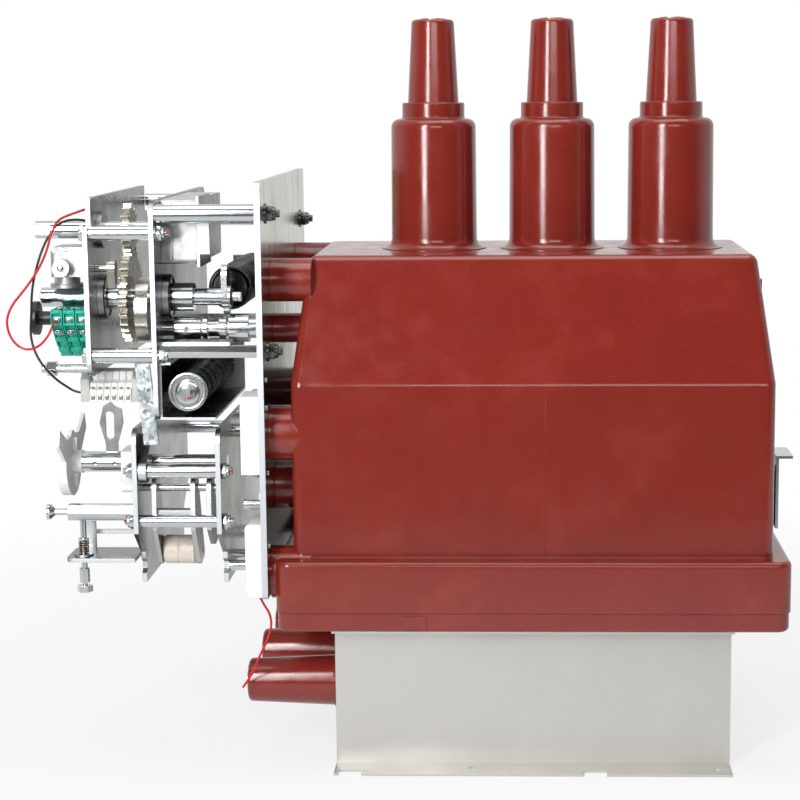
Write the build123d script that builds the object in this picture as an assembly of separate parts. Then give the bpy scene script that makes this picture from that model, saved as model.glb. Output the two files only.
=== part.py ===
from build123d import *
import math
import os

# Solid-insulated vacuum circuit breaker on a folded steel stand.
# X runs from the mechanism to the latch end, Y away from the near side, Z up from the floor.
# Sizes are millimetres. X values are measured from the middle of the cast base.

# Stand
STAND_END_IN = 55.5
STAND_SIDE_IN = 42.0
STAND_HEIGHT = 151.0
STAND_SHEET = 2.5
STAND_FLANGE = 35.0
STAND_BEND = 3.0
HOLE_COUNT = 4
FIRST_HOLE_IN = 16.4
LAST_HOLE_IN = 13.8
HOLE_R = 4.5
NOTCH_WIDTH = 23.0
NOTCH_DEPTH = 12.0

# Cast base and housing
COVER_HEIGHT = 20.0
COVER_INSET = 1.5
COLLAR_LENGTH = 515.0
COLLAR_DEPTH = 380.0
COLLAR_HEIGHT = 52.0
COLLAR_CORNER = 14.0
LEDGE_X = 16.5
LEDGE_Y = 22.0
WALL_HEIGHT = 175.0
HIP_HEIGHT = 124.0
HIP_IN_X = 14.0
HIP_IN_Y = 62.0
HOUSING_CORNER = 10.0
EDGE_ROUND = 5.0
PATCH_X = -118.0
PATCH_SIZE = (24.0, 14.0)
PATCH_PROUD = 0.8

# Bushings
BUSHING_PITCH = 125.0
BUSHING_MIDDLE_X = 21.3
FLARE_LIP = 0.6
FLARE_ROUND = 10.5
BARREL_R = 45.3
BARREL_TOP_R = 44.5
BARREL_HEIGHT = 136.0
SHOULDER_ROUND = 9.0
NECK_FILLET = 2.4
NECK_ROUND = 1.5
NECK_R = 32.8
NECK_HEIGHT = 16.6
CONE_R = 26.7
CONE_TIP_R = 22.1
CONE_HEIGHT = 85.9
TIP_ROUND = 4.0
CONTACT_R = 13.0
CONTACT_DEPTH = 32.0
CONTACT_BORE_R = 7.0
CONTACT_BORE_DEPTH = 26.0
CONTACT_PROUD = 1.0
CABLE_SIDE_GAP = 3.0
CABLE_Z = 80.5
CABLE_TIP_X = -295.0
CABLE_TIP_R = 22.3
CABLE_ROOT_X = -205.0
CABLE_ROOT_R = 26.2
ELBOW_X = -130.0
ELBOW_R = 27.5

# Clearances
RUNNING = 0.05
SEAT = 0.3
BORE_CLEAR = 0.5

# Mounting plate
PLATE_THICK = 6.0
PLATE_GAP = 6.5
PLATE_LOW_Z = 185.0
PLATE_TOP_Z = 600.0
PLATE_CORNER = 4.0

# The mounting plate's left face in the X values of the mechanism, which moves with that plate
MECHANISM_FACE_X = -270.0

# Mechanism plates
SHEET = 5.0
A_X = -445.0
A_LOW_Z = 405.0
A_STEP_Z = 554.0
A_TOP_Z = 583.0
A_STEP_Y = 142.0
UPPER_HALF_DEPTH = 160.0
B_X = -379.0
B_LOW_Z = 361.0
B_TOP_Z = 581.0
CORNER_R = 14.0
C_X = -405.0
D_X = -320.0
LOWER_HALF_DEPTH = 150.0
LOWER_FOOT_HALF = 112.0
LOWER_TOP_Z = 350.0
LOWER_KNEE_Z = 243.0
LOWER_ANKLE_Z = 217.0
LOWER_FOOT_Z = 184.0
FOOT_NOTCH = 4.0
FOOT_STEPS = (7.0, 12.0, 14.0, 9.0)

# Rods
ROD_Y = 150.0
TIE_R = 7.7
TIE_HIGH_Z = 548.6
FAR_TIE_R = 6.8
FAR_TIE_Z = 566.5
TIE_LOW_Z = 425.9
STANDOFF_R = 9.5
STANDOFF_HIGH_Z = 567.4
FAR_STANDOFF_R = 7.5
FAR_STANDOFF_Z = 544.5
HEX_STANDOFF = 12.0
STANDOFF_LOW_Z = 430.0
LOW_ROD_Y = 138.0
LOW_ROD_R = 7.3
LOW_ROD_Z = 306.0
LOW_ROD_2_R = 6.5
LOW_ROD_2_Z = 254.0
LOW_STANDOFF_R = 7.0
LOW_STANDOFF_Y = 60.0
LOW_STANDOFF_HIGH_Z = 335.0
LOW_STANDOFF_LOW_Z = 200.0

# Main shaft, gear pair and cam
SHAFT_Y = -100.0
MAIN_Z = 480.0
MODULE = 3.0
WHEEL_TEETH = 30
PINION_TEETH = 16
GEAR_X = -414.0
GEAR_WIDTH = 8.0
TOOTH_BACKLASH = 0.4
ROOT_CLEAR = 0.25
ROOT_SHARE = 1.62
TIP_SHARE = 0.46
MAIN_R = 12.0
MAIN_TIP_X = -502.0
MAIN_STUB_R = 10.0
WHEEL_HUB_R = 18.0
WHEEL_HUB_LEFT = 4.0
CAM_X = -401.0
CAM_WIDTH = 13.0
CAM_R = 34.0
CAM_DROP = 13.0
RING_OD = 47.0
RING_WIDTH = 6.0
CHARGE_R = 8.5
CHARGE_STUB_R = 9.0
CHARGE_TIP_X = -505.0
CHARGE_FLAT_LENGTH = 16.0
CHARGE_FLAT = 7.6
CHARGE_RING_OD = 38.0
CHARGE_RING_WIDTH = 5.0
COLLAR_R = 14.5
COLLAR_X = -366.0
COLLAR_WIDTH = 21.0
NECK_SHAFT_R = 8.7
CRANK_X = -316.0
CRANK_THICK = 6.0
CRANK_R = 11.0
CRANK_THROW = 22.0
CRANK_TIP_X = -297.0
CRANK_BOLT_R = 5.0
CRANK_TAIL = (10.0, -11.0)
CRANK_TAIL_R = 8.0
CRANK_WASHER = 3.0
CRANK_HOOK_R = 2.8
WASHER_R = 11.0
PAWL_X = -427.0
PAWL_THICK = 8.0
PAWL_Y = -128.0
PAWL_Z = 512.0
PAWL_R = 8.0
PAWL_PIN_R = 4.0
PAWL_NOSE = 20.0
PAWL_NOSE_NEAR = 4.0
PAWL_NOSE_FAR = 2.0

# Springs
SPRING_RIB = 1.6
UPPER_SPRING_X = -313.0
UPPER_SPRING_Z = 486.0
UPPER_SPRING_R = 23.0
UPPER_SPRING_Y = -70.0
UPPER_SPRING_LENGTH = 182.0
UPPER_COILS = 14
LOWER_SPRING_X = -346.0
LOWER_SPRING_Z = 389.0
LOWER_SPRING_R = 18.0
LOWER_SPRING_Y = -147.0
LOWER_COILS = 20
DISC_R = 19.5
DISC_THICK = 3.0
STUD_R = 5.5
STUD_PROUD = 14.0
BRACKET_SHEET = 2.5
BRACKET_LOW_Z = 361.0
BRACKET_TOP_Z = 419.0
BRACKET_RIGHT_X = -318.0
BRACKET_BACK_Y = 60.0
BRACKET_LIP = 12.0
BRACKET_NEAR_IN = 8.0
ANCHOR_THICK = 5.0
ANCHOR_HEIGHT = 40.0

# Motor, gear block, switch and terminals
MOTOR_LENGTH = 36.0
MOTOR_NEAR_Y = -120.0
MOTOR_FAR_Y = 40.0
MOTOR_LOW_Z = 515.0
MOTOR_TOP_Z = 580.0
MOTOR_ROUND = 5.0
MOTOR_SPLIT = 11.0
MOTOR_BRACKET_LENGTH = 13.0
MOTOR_BRACKET_SHEET = 3.0
MOTOR_BRACKET_FAR_Y = -50.0
MOTOR_BRACKET_OVER = 3.0
MOTOR_BRACKET_IN = 10.0
BLOCK_X = -485.0
BLOCK_LOW_Z = 491.5
BLOCK_TOP_Z = 533.0
BLOCK_NEAR_Y = -130.0
BLOCK_FAR_Y = -80.0
BLOCK_ROUND = 4.0
BLOCK_CAP = 4.0
BLOCK_CAP_IN = 2.0
BLOCK_SHOULDER_Z = 503.0
BLOCK_NECK_R = 13.0
BLOCK_FLANGE_R = 17.0
BLOCK_FLANGE = 4.0
KNOB_R = 9.0
KNOB_LENGTH = 12.0
KNOB_DISC = 3.0
KNOB_SHANK_R = 7.5
KNOB_X = -472.0
KNOB_Z = 513.0
SWITCH_LAYER = 12.5
SWITCH_LAYERS = 3
SWITCH_LOW_Z = 420.5
SWITCH_KNEE_Z = 457.0
SWITCH_TOP_Z = 472.0
SWITCH_NEAR_Y = -150.0
SWITCH_FAR_Y = -112.0
SWITCH_BACK_Y = -95.0
SWITCH_BACK_Z = 462.0
SWITCH_SLOT = 1.2
SWITCH_SLOT_DEPTH = 3.0
DIAL_X = -503.0
DIAL_THICK = 5.0
DIAL_R = 17.0
DIAL_Y = -131.0
DIAL_Z = 462.0
DIAL_HUB_R = 7.0
TERMINAL_X = -460.0
TERMINAL_END = 9.0
TERMINAL_PITCH = 7.2
TERMINALS = 6
TERMINAL_NEAR_Y = -125.0
TERMINAL_FAR_Y = -85.0
TERMINAL_HEIGHT = 30.0
TERMINAL_STEP = 8.0
BOLT_Z = 413.0
BOLT_R = 4.2
BOLT_HEAD_R = 7.0
BOLT_TIP_X = -492.0
BOLT_HEAD = 9.0
BOLT_HEAD_X = -486.0
SLANT_BAR_WIDTH = 15.0
SLANT_BAR_THICK = 4.0
SLANT_BAR_TOP_Z = 418.0
SLANT_BAR_LOW_Z = 335.0
SLANT_BAR_LEAN = 7.0
SHELF_X = -303.0
SHELF_SHEET = 3.0
SHELF_DEPTH = 28.0
SHELF_IN = 3.0

# Disconnector drive shaft
DRIVE_Z = 448.0
DRIVE_STUB_R = 8.0
COUPLING_X = -366.0
COUPLING_LENGTH = 28.0
COUPLING_R = 12.0
COUPLING_HOLE_R = 2.5
DRIVE_R = 9.0
DRIVE_RING_R = 12.5
DRIVE_RING_GAP = 2.0
DRIVE_RING_WIDTH = 5.0
INNER_RING_WIDTH = 7.0
INNER_RING_GAP = 3.0
DRIVE_BLOCK_X = -309.0
DRIVE_BLOCK_LENGTH = 20.0
DRIVE_BLOCK_R = 14.5
DRIVE_END_R = 10.5

# Selector shaft, disc, hasp and block
SELECTOR_Z = 309.0
SELECTOR_R = 10.7
SELECTOR_INNER_R = 7.5
SELECTOR_STEP = 3.0
SELECTOR_TIP_X = -472.0
SELECTOR_HOLE_R = 2.0
SELECTOR_DOTS = (-451.0, -430.5)
BLOCK2_X = -422.0
BLOCK2_HALF_Y = 20.0
BLOCK2_LOW_Z = 280.0
BLOCK2_TOP_Z = 323.0
BLOCK2_ROUND = 4.0
FAN_RIGHT_X = -475.0
FAN_THICK = 3.5
FAN_HORN = (56.0, 42.0)
FAN_VALLEY = (26.0, 26.6)
FAN_HUMP_HALF = 9.0
FAN_HUMP_TOP = 33.0
FAN_CORNER = (62.0, 26.0)
FAN_WAIST = (36.0, 6.0)
PAN_R = 35.0
PAN_WALL = 3.0
PAN_X = -485.0
FAN_HUB_R = 11.8
FAN_HUB_END_X = -465.0
FAN_RIB = 4.0
FAN_RIB_THICK = 2.5
FAN_RIB_TOP = 25.5
HASP_X = -434.5
HASP_THICK = 4.0
HASP_FOOT_HALF = 6.2
HASP_FOOT_TOP = 19.0
HASP_WIDE_HALF = 12.2
HASP_WIDE = 40.5
HASP_LEFT_SHOULDER = (-8.0, 58.0)
HASP_PEAK_LEFT = (-2.5, 62.0)
HASP_PEAK = (0.2, 62.0)
HASP_DIP = (3.6, 58.0)
HASP_RIGHT_SHOULDER = (10.8, 55.2)
HASP_SLOT_X = -436.0
HASP_SLOT_WIDTH = 9.0
HASP_SLOT_LOW = 24.0
HASP_SLOT_TOP = 52.5
HASP_SLOT_ROUND = 4.0

# Hex bar, interlock pin and bracket
HEX_Y = -130.0
HEX_Z = 262.0
HEX_FLATS = 16.0
HEX_TIP_X = -475.0
HORN_TIP_X = -497.0
HORN_R = 8.0
HORN_NECK_R = 3.4
HORN_RIM = 3.0
HORN_CONE = 5.0
PIN_X = -461.0
PIN_R = 3.2
PIN_COLLAR_R = 5.6
PIN_COLLAR_Z = 233.2
PIN_COLLAR_HEIGHT = 1.6
PIN_SLEEVE_R = 5.3
PIN_SLEEVE_LOW_Z = 188.5
PIN_SLEEVE_GAP = 10.0
PIN_NECK_R = 2.4
PIN_NECK = 3.5
PIN_HEAD_R = 8.0
PIN_HEAD_LOW_Z = 178.5
PIN_WASHER_R = 10.0
PIN_WASHER = 1.5
PIN_BRACKET_Z = 215.0
PIN_BRACKET_SHEET = 4.0
PIN_BRACKET_X = -476.0
PIN_BRACKET_FAR_Y = -95.0
PIN_BRACKET_NEAR_Y = -148.0
PIN_BRACKET_CORNER = 8.0
PIN_RIB_SHEET = 3.0
PIN_RIB_X = -468.0
PIN_RIB_WIDTH = 13.0
PIN_RIB_TOP_Z = 245.0
PIN_RIB_BAR_LOW_Z = 232.0
PIN_RIB_BAR_TOP_Z = 236.5
PIN_SPRING_R = 5.6
PIN_SPRING_WIRE = 1.0
PIN_SPRING_COILS = 6

# Levers between the lower plates
LEVER_X = (-390.5, -350.5, -334.0)
LEVER_THICK = 5.0
LEVER_PIN_Y = -112.0
LEVER_PIN_Z = 284.0
LEVER_PIN_R = 4.0
LEVER_R = 13.0
LEVER_ROUND = 5.0
LEVER_KNEE = (-127.0, 243.0)
LEVER_TOE = (-97.0, 199.0)
LEVER_HEEL = (-72.0, 205.0)
LEVER_BACK_Y = -86.0
SHORT_TOE = (-104.0, 222.0)
SHORT_HEEL = (-88.0, 224.0)
ROLLER_Y = -88.0
ROLLER_Z = 213.5
ROLLER_R = 15.0
ROLLER_ROUND = 2.0
ROLLER_GROOVE = 0.8
ROLLER_GROOVE_HALF = 1.5
SPACER_Y = -118.0
SPACER_Z = 254.0
SPACER_SIDE = 16.0
ROD_LEVER_R = 12.0
ROD_LEVER_THICK = 8.0
ROD_LEVER_TIP = (-104.0, 333.0)
ROD_LEVER_TIP_R = 6.0

# Boxes and stud on the mounting plate
FOAM_BOX = (21.0, 40.0, 79.0)
FOAM_NEAR_Y = -170.0
FOAM_LOW_Z = 308.0
CABLE_BOX = (18.0, 90.0, 75.0)
CABLE_BOX_NEAR_Y = -180.0
CABLE_BOX_LOW_Z = 184.5
CABLE_BOX_CHAMFER = 4.0
PLATE_STUD_Y = -160.0
PLATE_STUD_Z = 276.0
PLATE_STUD_LENGTH = 20.0
PLATE_STUD_R = 5.0
SPACER_BOLT_R = 5.5
SPACER_BOLT_Y = -104.0

# Latch end
LATCH_Y = -100.0
LATCH_BODY = (6.0, 36.0, 56.0)
LATCH_LOW_Z = 246.0
LATCH_PLATE = (3.0, 50.0, 75.0)
LATCH_PLATE_LOW_Z = 244.0
LATCH_TAB = (14.0, 13.0)
LUG_SIZE = (24.0, 22.0)
LUG_Z = 466.0
LUG_PROUD = 2.0

# Bosses on the mechanism end of the housing: Y, middle height, radius
BOSSES = (
    (-140.0, 346.0, 28.0),
    (140.0, 346.0, 28.0),
    (SHAFT_Y, DRIVE_Z, 15.0),
    (SHAFT_Y, 285.0, 25.0),
    (-110.0, 498.0, 22.0),
    (110.0, 498.0, 22.0),
    (-150.0, 205.0, 27.0),
    (150.0, 205.0, 27.0),
)

# Wires: diameter and route points
WIRE_D = 2.4
RED_ROUTE = (
    (-446.2, -138, 571.5), (-456, -150, 568), (-468.5, -161, 563), (-474.5, -165, 549.5),
    (-479.5, -165, 531.5), (-489.5, -164, 512), (-504, -163, 493), (-518.5, -161, 477),
    (-524.5, -160, 460), (-519, -160, 442), (-506.5, -160, 432.5), (-492, -162, 436),
    (-481, -164, 447.5), (-476, -161, 460.5), (-476.2, -150.3, 461),
)
BLACK_ROUTE = (
    (-446.2, -138, 560.5), (-457, -145, 563), (-471.5, -151, 558), (-482.5, -155, 542),
    (-491, -157, 520), (-497.5, -158, 494), (-499, -158, 468), (-501, -158, 443.5),
    (-492.5, -160, 421.5), (-477, -159, 403.5), (-467, -148, 393.5), (-464, -134, 387.5),
    (-461.5, -121, 384.5),
)
LOWER_ROUTE = (
    (-277.5, -160, 183.5), (-273.5, -161.5, 174.5), (-266, -163, 164), (-264.5, -162.5, 150),
    (-270, -160, 134), (-279, -156, 117), (-286, -153, 98), (-297, -152, 83),
)
WIRE_BEND_SHARE = 0.45

# Places worked out from the sizes
STAND_LENGTH = COLLAR_LENGTH - 2 * STAND_END_IN
STAND_WEB_Y = COLLAR_DEPTH / 2 - STAND_SIDE_IN
FIRST_HOLE_X = FIRST_HOLE_IN - STAND_LENGTH / 2
HOLE_PITCH = (STAND_LENGTH - FIRST_HOLE_IN - LAST_HOLE_IN) / (HOLE_COUNT - 1)
COVER_Z = STAND_HEIGHT
COLLAR_Z = COVER_Z + COVER_HEIGHT
WALL_Z = COLLAR_Z + COLLAR_HEIGHT
HIP_Z = WALL_Z + WALL_HEIGHT
ROOF_Z = HIP_Z + HIP_HEIGHT
WALL_HALF_X = COLLAR_LENGTH / 2 - LEDGE_X
WALL_HALF_Y = COLLAR_DEPTH / 2 - LEDGE_Y
PLATE_RIGHT_X = -COLLAR_LENGTH / 2 - PLATE_GAP
PLATE_LEFT_X = PLATE_RIGHT_X - PLATE_THICK
BUSHING_X = [BUSHING_MIDDLE_X + k * BUSHING_PITCH for k in (-1, 0, 1)]
CABLE_PITCH = STAND_WEB_Y - STAND_SHEET - CABLE_SIDE_GAP - ELBOW_R
CABLE_Y = [k * CABLE_PITCH for k in (-1, 0, 1)]
A_RIGHT = A_X + SHEET
B_RIGHT = B_X + SHEET
C_RIGHT = C_X + SHEET
D_RIGHT = D_X + SHEET
GEAR_DISTANCE = MODULE * (WHEEL_TEETH + PINION_TEETH) / 2
CHARGE_Z = MAIN_Z + GEAR_DISTANCE
LATCH_TIP_X = WALL_HALF_X + LATCH_BODY[0] + LATCH_PLATE[0] + LATCH_TAB[0]
MECHANISM_SHIFT = PLATE_LEFT_X - MECHANISM_FACE_X
MIDDLE_X = (CHARGE_TIP_X + MECHANISM_SHIFT + LATCH_TIP_X) / 2
FLANGE_HOLE_Y = STAND_WEB_Y + STAND_FLANGE / 2


def block(x0, x1, y0, y1, z0, z1):
    """A box between two corners."""
    return Pos((x0 + x1) / 2, (y0 + y1) / 2, (z0 + z1) / 2) * Box(x1 - x0, y1 - y0, z1 - z0)


def rod_x(x0, x1, y, z, r):
    """A round bar along X."""
    return Pos((x0 + x1) / 2, y, z) * Rot(0, 90, 0) * Cylinder(r, x1 - x0)


def rod_y(y0, y1, x, z, r):
    """A round bar along Y."""
    return Pos(x, (y0 + y1) / 2, z) * Rot(90, 0, 0) * Cylinder(r, y1 - y0)


def rod_z(z0, z1, x, y, r):
    """A round bar along Z."""
    return Pos(x, y, (z0 + z1) / 2) * Cylinder(r, z1 - z0)


def hex_x(x0, x1, y, z, across_flats):
    """A hexagonal bar along X."""
    outline = RegularPolygon(across_flats / 2, 6, major_radius=False, rotation=90)
    return Pos(x0, y, z) * Rot(0, 90, 0) * extrude(outline, x1 - x0)


def sheet_x(points, x, thick):
    """A flat sheet across X, with its outline given as (Y, Z) points."""
    face = make_face(Polyline(*[(x, y, z) for y, z in points], close=True))
    return extrude(face, thick, dir=(1, 0, 0))


def sheet_y(points, y, thick):
    """A flat sheet across Y, with its outline given as (X, Z) points."""
    face = make_face(Polyline(*[(x, y, z) for x, z in points], close=True))
    return extrude(face, thick, dir=(0, 1, 0))


def round_x_edges(solid, radius):
    """Rounds the edges that run along X."""
    return fillet(solid.edges().filter_by(Axis.X), radius)


def turned_z(points, x, y, z):
    """A turned piece about a vertical axis, from (radius, height) points."""
    face = make_face(Polyline(*[(r, 0, h) for r, h in points], close=True))
    return Pos(x, y, z) * revolve(face, Axis.Z)


def turned_x(points, y, z):
    """A turned piece about an axis along X, from (X, radius) points."""
    face = make_face(Polyline(*[(x, 0, r) for x, r in points], close=True))
    return Pos(0, y, z) * revolve(face, Axis.X)


def gear(teeth, x, width, y, z, turn):
    """A spur gear across X with straight flanks, turned by an angle in degrees."""
    pitch_r = MODULE * teeth / 2
    root_r = pitch_r - MODULE * (1 + ROOT_CLEAR)
    tip_r = pitch_r + MODULE
    half_pitch = math.pi / (2 * teeth)
    slack = TOOTH_BACKLASH / (2 * pitch_r)
    outline = []
    for k in range(teeth):
        middle = math.radians(turn) + 2 * math.pi * k / teeth
        for radius, half in (
            (root_r, half_pitch * ROOT_SHARE - slack),
            (pitch_r, half_pitch - slack),
            (tip_r, half_pitch * TIP_SHARE - slack),
        ):
            outline.append((radius, middle - half))
        for radius, half in (
            (tip_r, half_pitch * TIP_SHARE - slack),
            (pitch_r, half_pitch - slack),
            (root_r, half_pitch * ROOT_SHARE - slack),
        ):
            outline.append((radius, middle + half))
    points = [(y + r * math.sin(a), z + r * math.cos(a)) for r, a in outline]
    return sheet_x(points, x, width)


def make_stand(side):
    """One folded channel of the stand, its flanges turned outwards."""
    web_y = STAND_WEB_Y
    edge_y = web_y + STAND_FLANGE
    inner_y = web_y - STAND_SHEET
    section = [
        (edge_y, 0), (inner_y, 0), (inner_y, STAND_HEIGHT), (edge_y, STAND_HEIGHT),
        (edge_y, STAND_HEIGHT - STAND_SHEET), (web_y, STAND_HEIGHT - STAND_SHEET),
        (web_y, STAND_SHEET), (edge_y, STAND_SHEET),
    ]
    channel = sheet_x([(side * y, z) for y, z in section], -STAND_LENGTH / 2, STAND_LENGTH)
    bends = [e for e in channel.edges().filter_by(Axis.X) if abs(abs(e.center().Y) - inner_y) < 0.1]
    channel = fillet(bends, STAND_BEND)
    for k in range(HOLE_COUNT):
        x = FIRST_HOLE_X + k * HOLE_PITCH
        if k % 2:
            channel -= rod_z(-1, STAND_HEIGHT + 1, x, side * FLANGE_HOLE_Y, HOLE_R)
        else:
            y0, y1 = sorted((side * (edge_y - NOTCH_DEPTH), side * (edge_y + 1)))
            half = NOTCH_WIDTH / 2
            channel -= block(x - half, x + half, y0, y1, -1, STAND_SHEET + 1)
    return channel


def make_cover():
    """The lower cover plate under the cast collar, with its small raised patch."""
    half_x = COLLAR_LENGTH / 2 - COVER_INSET
    half_y = COLLAR_DEPTH / 2 - COVER_INSET
    plate = block(-half_x, half_x, -half_y, half_y, COVER_Z, COLLAR_Z)
    plate = fillet(plate.edges().filter_by(Axis.Z), COLLAR_CORNER - COVER_INSET)
    plate = fillet(plate.edges().group_by(Axis.Z)[0], EDGE_ROUND)
    half_patch = PATCH_SIZE[0] / 2
    patch_z = COVER_Z + (COVER_HEIGHT - PATCH_SIZE[1]) / 2
    patch = block(
        PATCH_X - half_patch, PATCH_X + half_patch,
        -half_y - PATCH_PROUD, -half_y + PATCH_PROUD, patch_z, patch_z + PATCH_SIZE[1],
    )
    return plate + patch


def make_housing():
    """The cast housing: collar, straight walls, hipped top and the bosses at the mechanism end."""
    collar = block(
        -COLLAR_LENGTH / 2, COLLAR_LENGTH / 2, -COLLAR_DEPTH / 2, COLLAR_DEPTH / 2, COLLAR_Z, WALL_Z
    )
    collar = fillet(collar.edges().filter_by(Axis.Z), COLLAR_CORNER)
    collar = fillet(collar.edges().group_by(Axis.Z)[-1], EDGE_ROUND)
    walls = block(-WALL_HALF_X, WALL_HALF_X, -WALL_HALF_Y, WALL_HALF_Y, COLLAR_Z + 1, HIP_Z)
    low = Pos(0, 0, HIP_Z) * Rectangle(2 * WALL_HALF_X, 2 * WALL_HALF_Y)
    high = Pos(0, 0, ROOF_Z) * Rectangle(2 * (WALL_HALF_X - HIP_IN_X), 2 * (WALL_HALF_Y - HIP_IN_Y))
    body = walls + loft([low, high])
    body = fillet([e for e in body.edges() if e.center().Z > COLLAR_Z + 2], HOUSING_CORNER)
    casting = collar + body
    for y, z, r in BOSSES:
        casting += rod_x(PLATE_RIGHT_X, -WALL_HALF_X + HIP_IN_X + 5, y, z, r)
    return casting


def make_bushing(x):
    """A top bushing: flare, barrel, neck and outer cone, with a seat for its contact."""
    neck_z = BARREL_HEIGHT + NECK_HEIGHT
    top_z = neck_z + CONE_HEIGHT
    foot_z = FLARE_LIP + FLARE_ROUND
    flare_r = BARREL_R + FLARE_ROUND
    middle = FLARE_ROUND * (1 - math.sqrt(0.5))
    flare = ThreePointArc(
        (flare_r, 0, FLARE_LIP), (BARREL_R + middle, 0, FLARE_LIP + middle), (BARREL_R, 0, foot_z)
    )
    profile = [
        (BARREL_R, foot_z), (BARREL_TOP_R, BARREL_HEIGHT), (NECK_R, BARREL_HEIGHT), (NECK_R, neck_z),
        (CONE_R, neck_z), (CONE_TIP_R, top_z), (0, top_z), (0, 0), (flare_r, 0), (flare_r, FLARE_LIP),
    ]
    outline = Polyline(*[(r, 0, h) for r, h in profile])
    body = Pos(x, 0, ROOF_Z) * revolve(make_face(flare.edges() + outline.edges()), Axis.Z)
    for radius, height, size in (
        (BARREL_TOP_R, BARREL_HEIGHT, SHOULDER_ROUND), (NECK_R, BARREL_HEIGHT, NECK_FILLET),
        (NECK_R, neck_z, NECK_ROUND), (CONE_TIP_R, top_z, TIP_ROUND),
    ):
        rim = [
            e for e in body.edges().filter_by(GeomType.CIRCLE)
            if abs(e.center().Z - ROOF_Z - height) < 0.1 and abs(e.radius - radius) < 0.1
        ]
        body = fillet(rim, size)
    tip_z = ROOF_Z + top_z
    return body - rod_z(tip_z - CONTACT_DEPTH, tip_z + 1, x, 0, CONTACT_R + RUNNING)


def make_contacts():
    """The threaded contacts in the tips of the top bushings and of the cable bushings."""
    tip_z = ROOF_Z + BARREL_HEIGHT + NECK_HEIGHT + CONE_HEIGHT
    top = tip_z + CONTACT_PROUD
    front = CABLE_TIP_X - CONTACT_PROUD
    solids = []
    for x in BUSHING_X:
        insert = rod_z(tip_z - CONTACT_DEPTH, top, x, 0, CONTACT_R)
        solids.append(insert - rod_z(top - CONTACT_BORE_DEPTH, top + 1, x, 0, CONTACT_BORE_R))
    for y in CABLE_Y:
        insert = rod_x(front, CABLE_TIP_X + CONTACT_DEPTH, y, CABLE_Z, CONTACT_R)
        solids.append(insert - rod_x(front - 1, front + CONTACT_BORE_DEPTH, y, CABLE_Z, CONTACT_BORE_R))
    return Compound(children=solids)


def make_cable_bushing(y):
    """A cable bushing: a lying cone that turns up into the base."""
    cone = turned_x(
        [(CABLE_TIP_X, 0), (CABLE_TIP_X, CABLE_TIP_R), (CABLE_ROOT_X, CABLE_ROOT_R),
         (CABLE_ROOT_X, ELBOW_R), (ELBOW_X, ELBOW_R), (ELBOW_X, 0)], y, CABLE_Z
    )
    tip = [e for e in cone.edges().filter_by(GeomType.CIRCLE) if e.center().X < CABLE_TIP_X + 0.1]
    cone = fillet(tip, TIP_ROUND)
    riser = rod_z(CABLE_Z, COVER_Z, ELBOW_X, y, ELBOW_R)
    body = cone + riser + Pos(ELBOW_X, y, CABLE_Z) * Sphere(ELBOW_R)
    return body - rod_x(CABLE_TIP_X - 1, CABLE_TIP_X + CONTACT_DEPTH, y, CABLE_Z, CONTACT_R + RUNNING)


def make_mounting_plate():
    """The upright plate between the housing and the mechanism."""
    half = COLLAR_DEPTH / 2
    plate = block(PLATE_LEFT_X, PLATE_RIGHT_X, -half, half, PLATE_LOW_Z, PLATE_TOP_Z)
    plate = round_x_edges(plate, PLATE_CORNER)
    return plate - rod_x(
        PLATE_LEFT_X - 1, PLATE_RIGHT_X + 1, SHAFT_Y, DRIVE_Z, DRIVE_END_R + BORE_CLEAR
    )


def make_plate_a():
    """The outer plate of the closing mechanism, stepped back at its top."""
    half = UPPER_HALF_DEPTH
    outline = [
        (-half, A_LOW_Z), (half, A_LOW_Z), (half, A_STEP_Z), (A_STEP_Y, A_STEP_Z),
        (A_STEP_Y, A_TOP_Z), (-A_STEP_Y, A_TOP_Z), (-A_STEP_Y, A_STEP_Z), (-half, A_STEP_Z),
    ]
    plate = sheet_x(outline, A_X, SHEET)
    low = [e for e in plate.edges().filter_by(Axis.X) if e.center().Z < A_LOW_Z + 1]
    plate = fillet(low, CORNER_R)
    plate -= rod_x(A_X - 1, A_RIGHT + 1, SHAFT_Y, MAIN_Z, MAIN_R + BORE_CLEAR)
    return plate - rod_x(A_X - 1, A_RIGHT + 1, SHAFT_Y, CHARGE_Z, CHARGE_R + BORE_CLEAR)


def make_plate_b():
    """The inner plate of the closing mechanism."""
    half = UPPER_HALF_DEPTH
    plate = round_x_edges(block(B_X, B_RIGHT, -half, half, B_LOW_Z, B_TOP_Z), CORNER_R)
    plate -= rod_x(B_X - 1, B_RIGHT + 1, SHAFT_Y, MAIN_Z, MAIN_R + BORE_CLEAR)
    return plate - rod_x(B_X - 1, B_RIGHT + 1, SHAFT_Y, CHARGE_Z, CHARGE_R + BORE_CLEAR)


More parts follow.
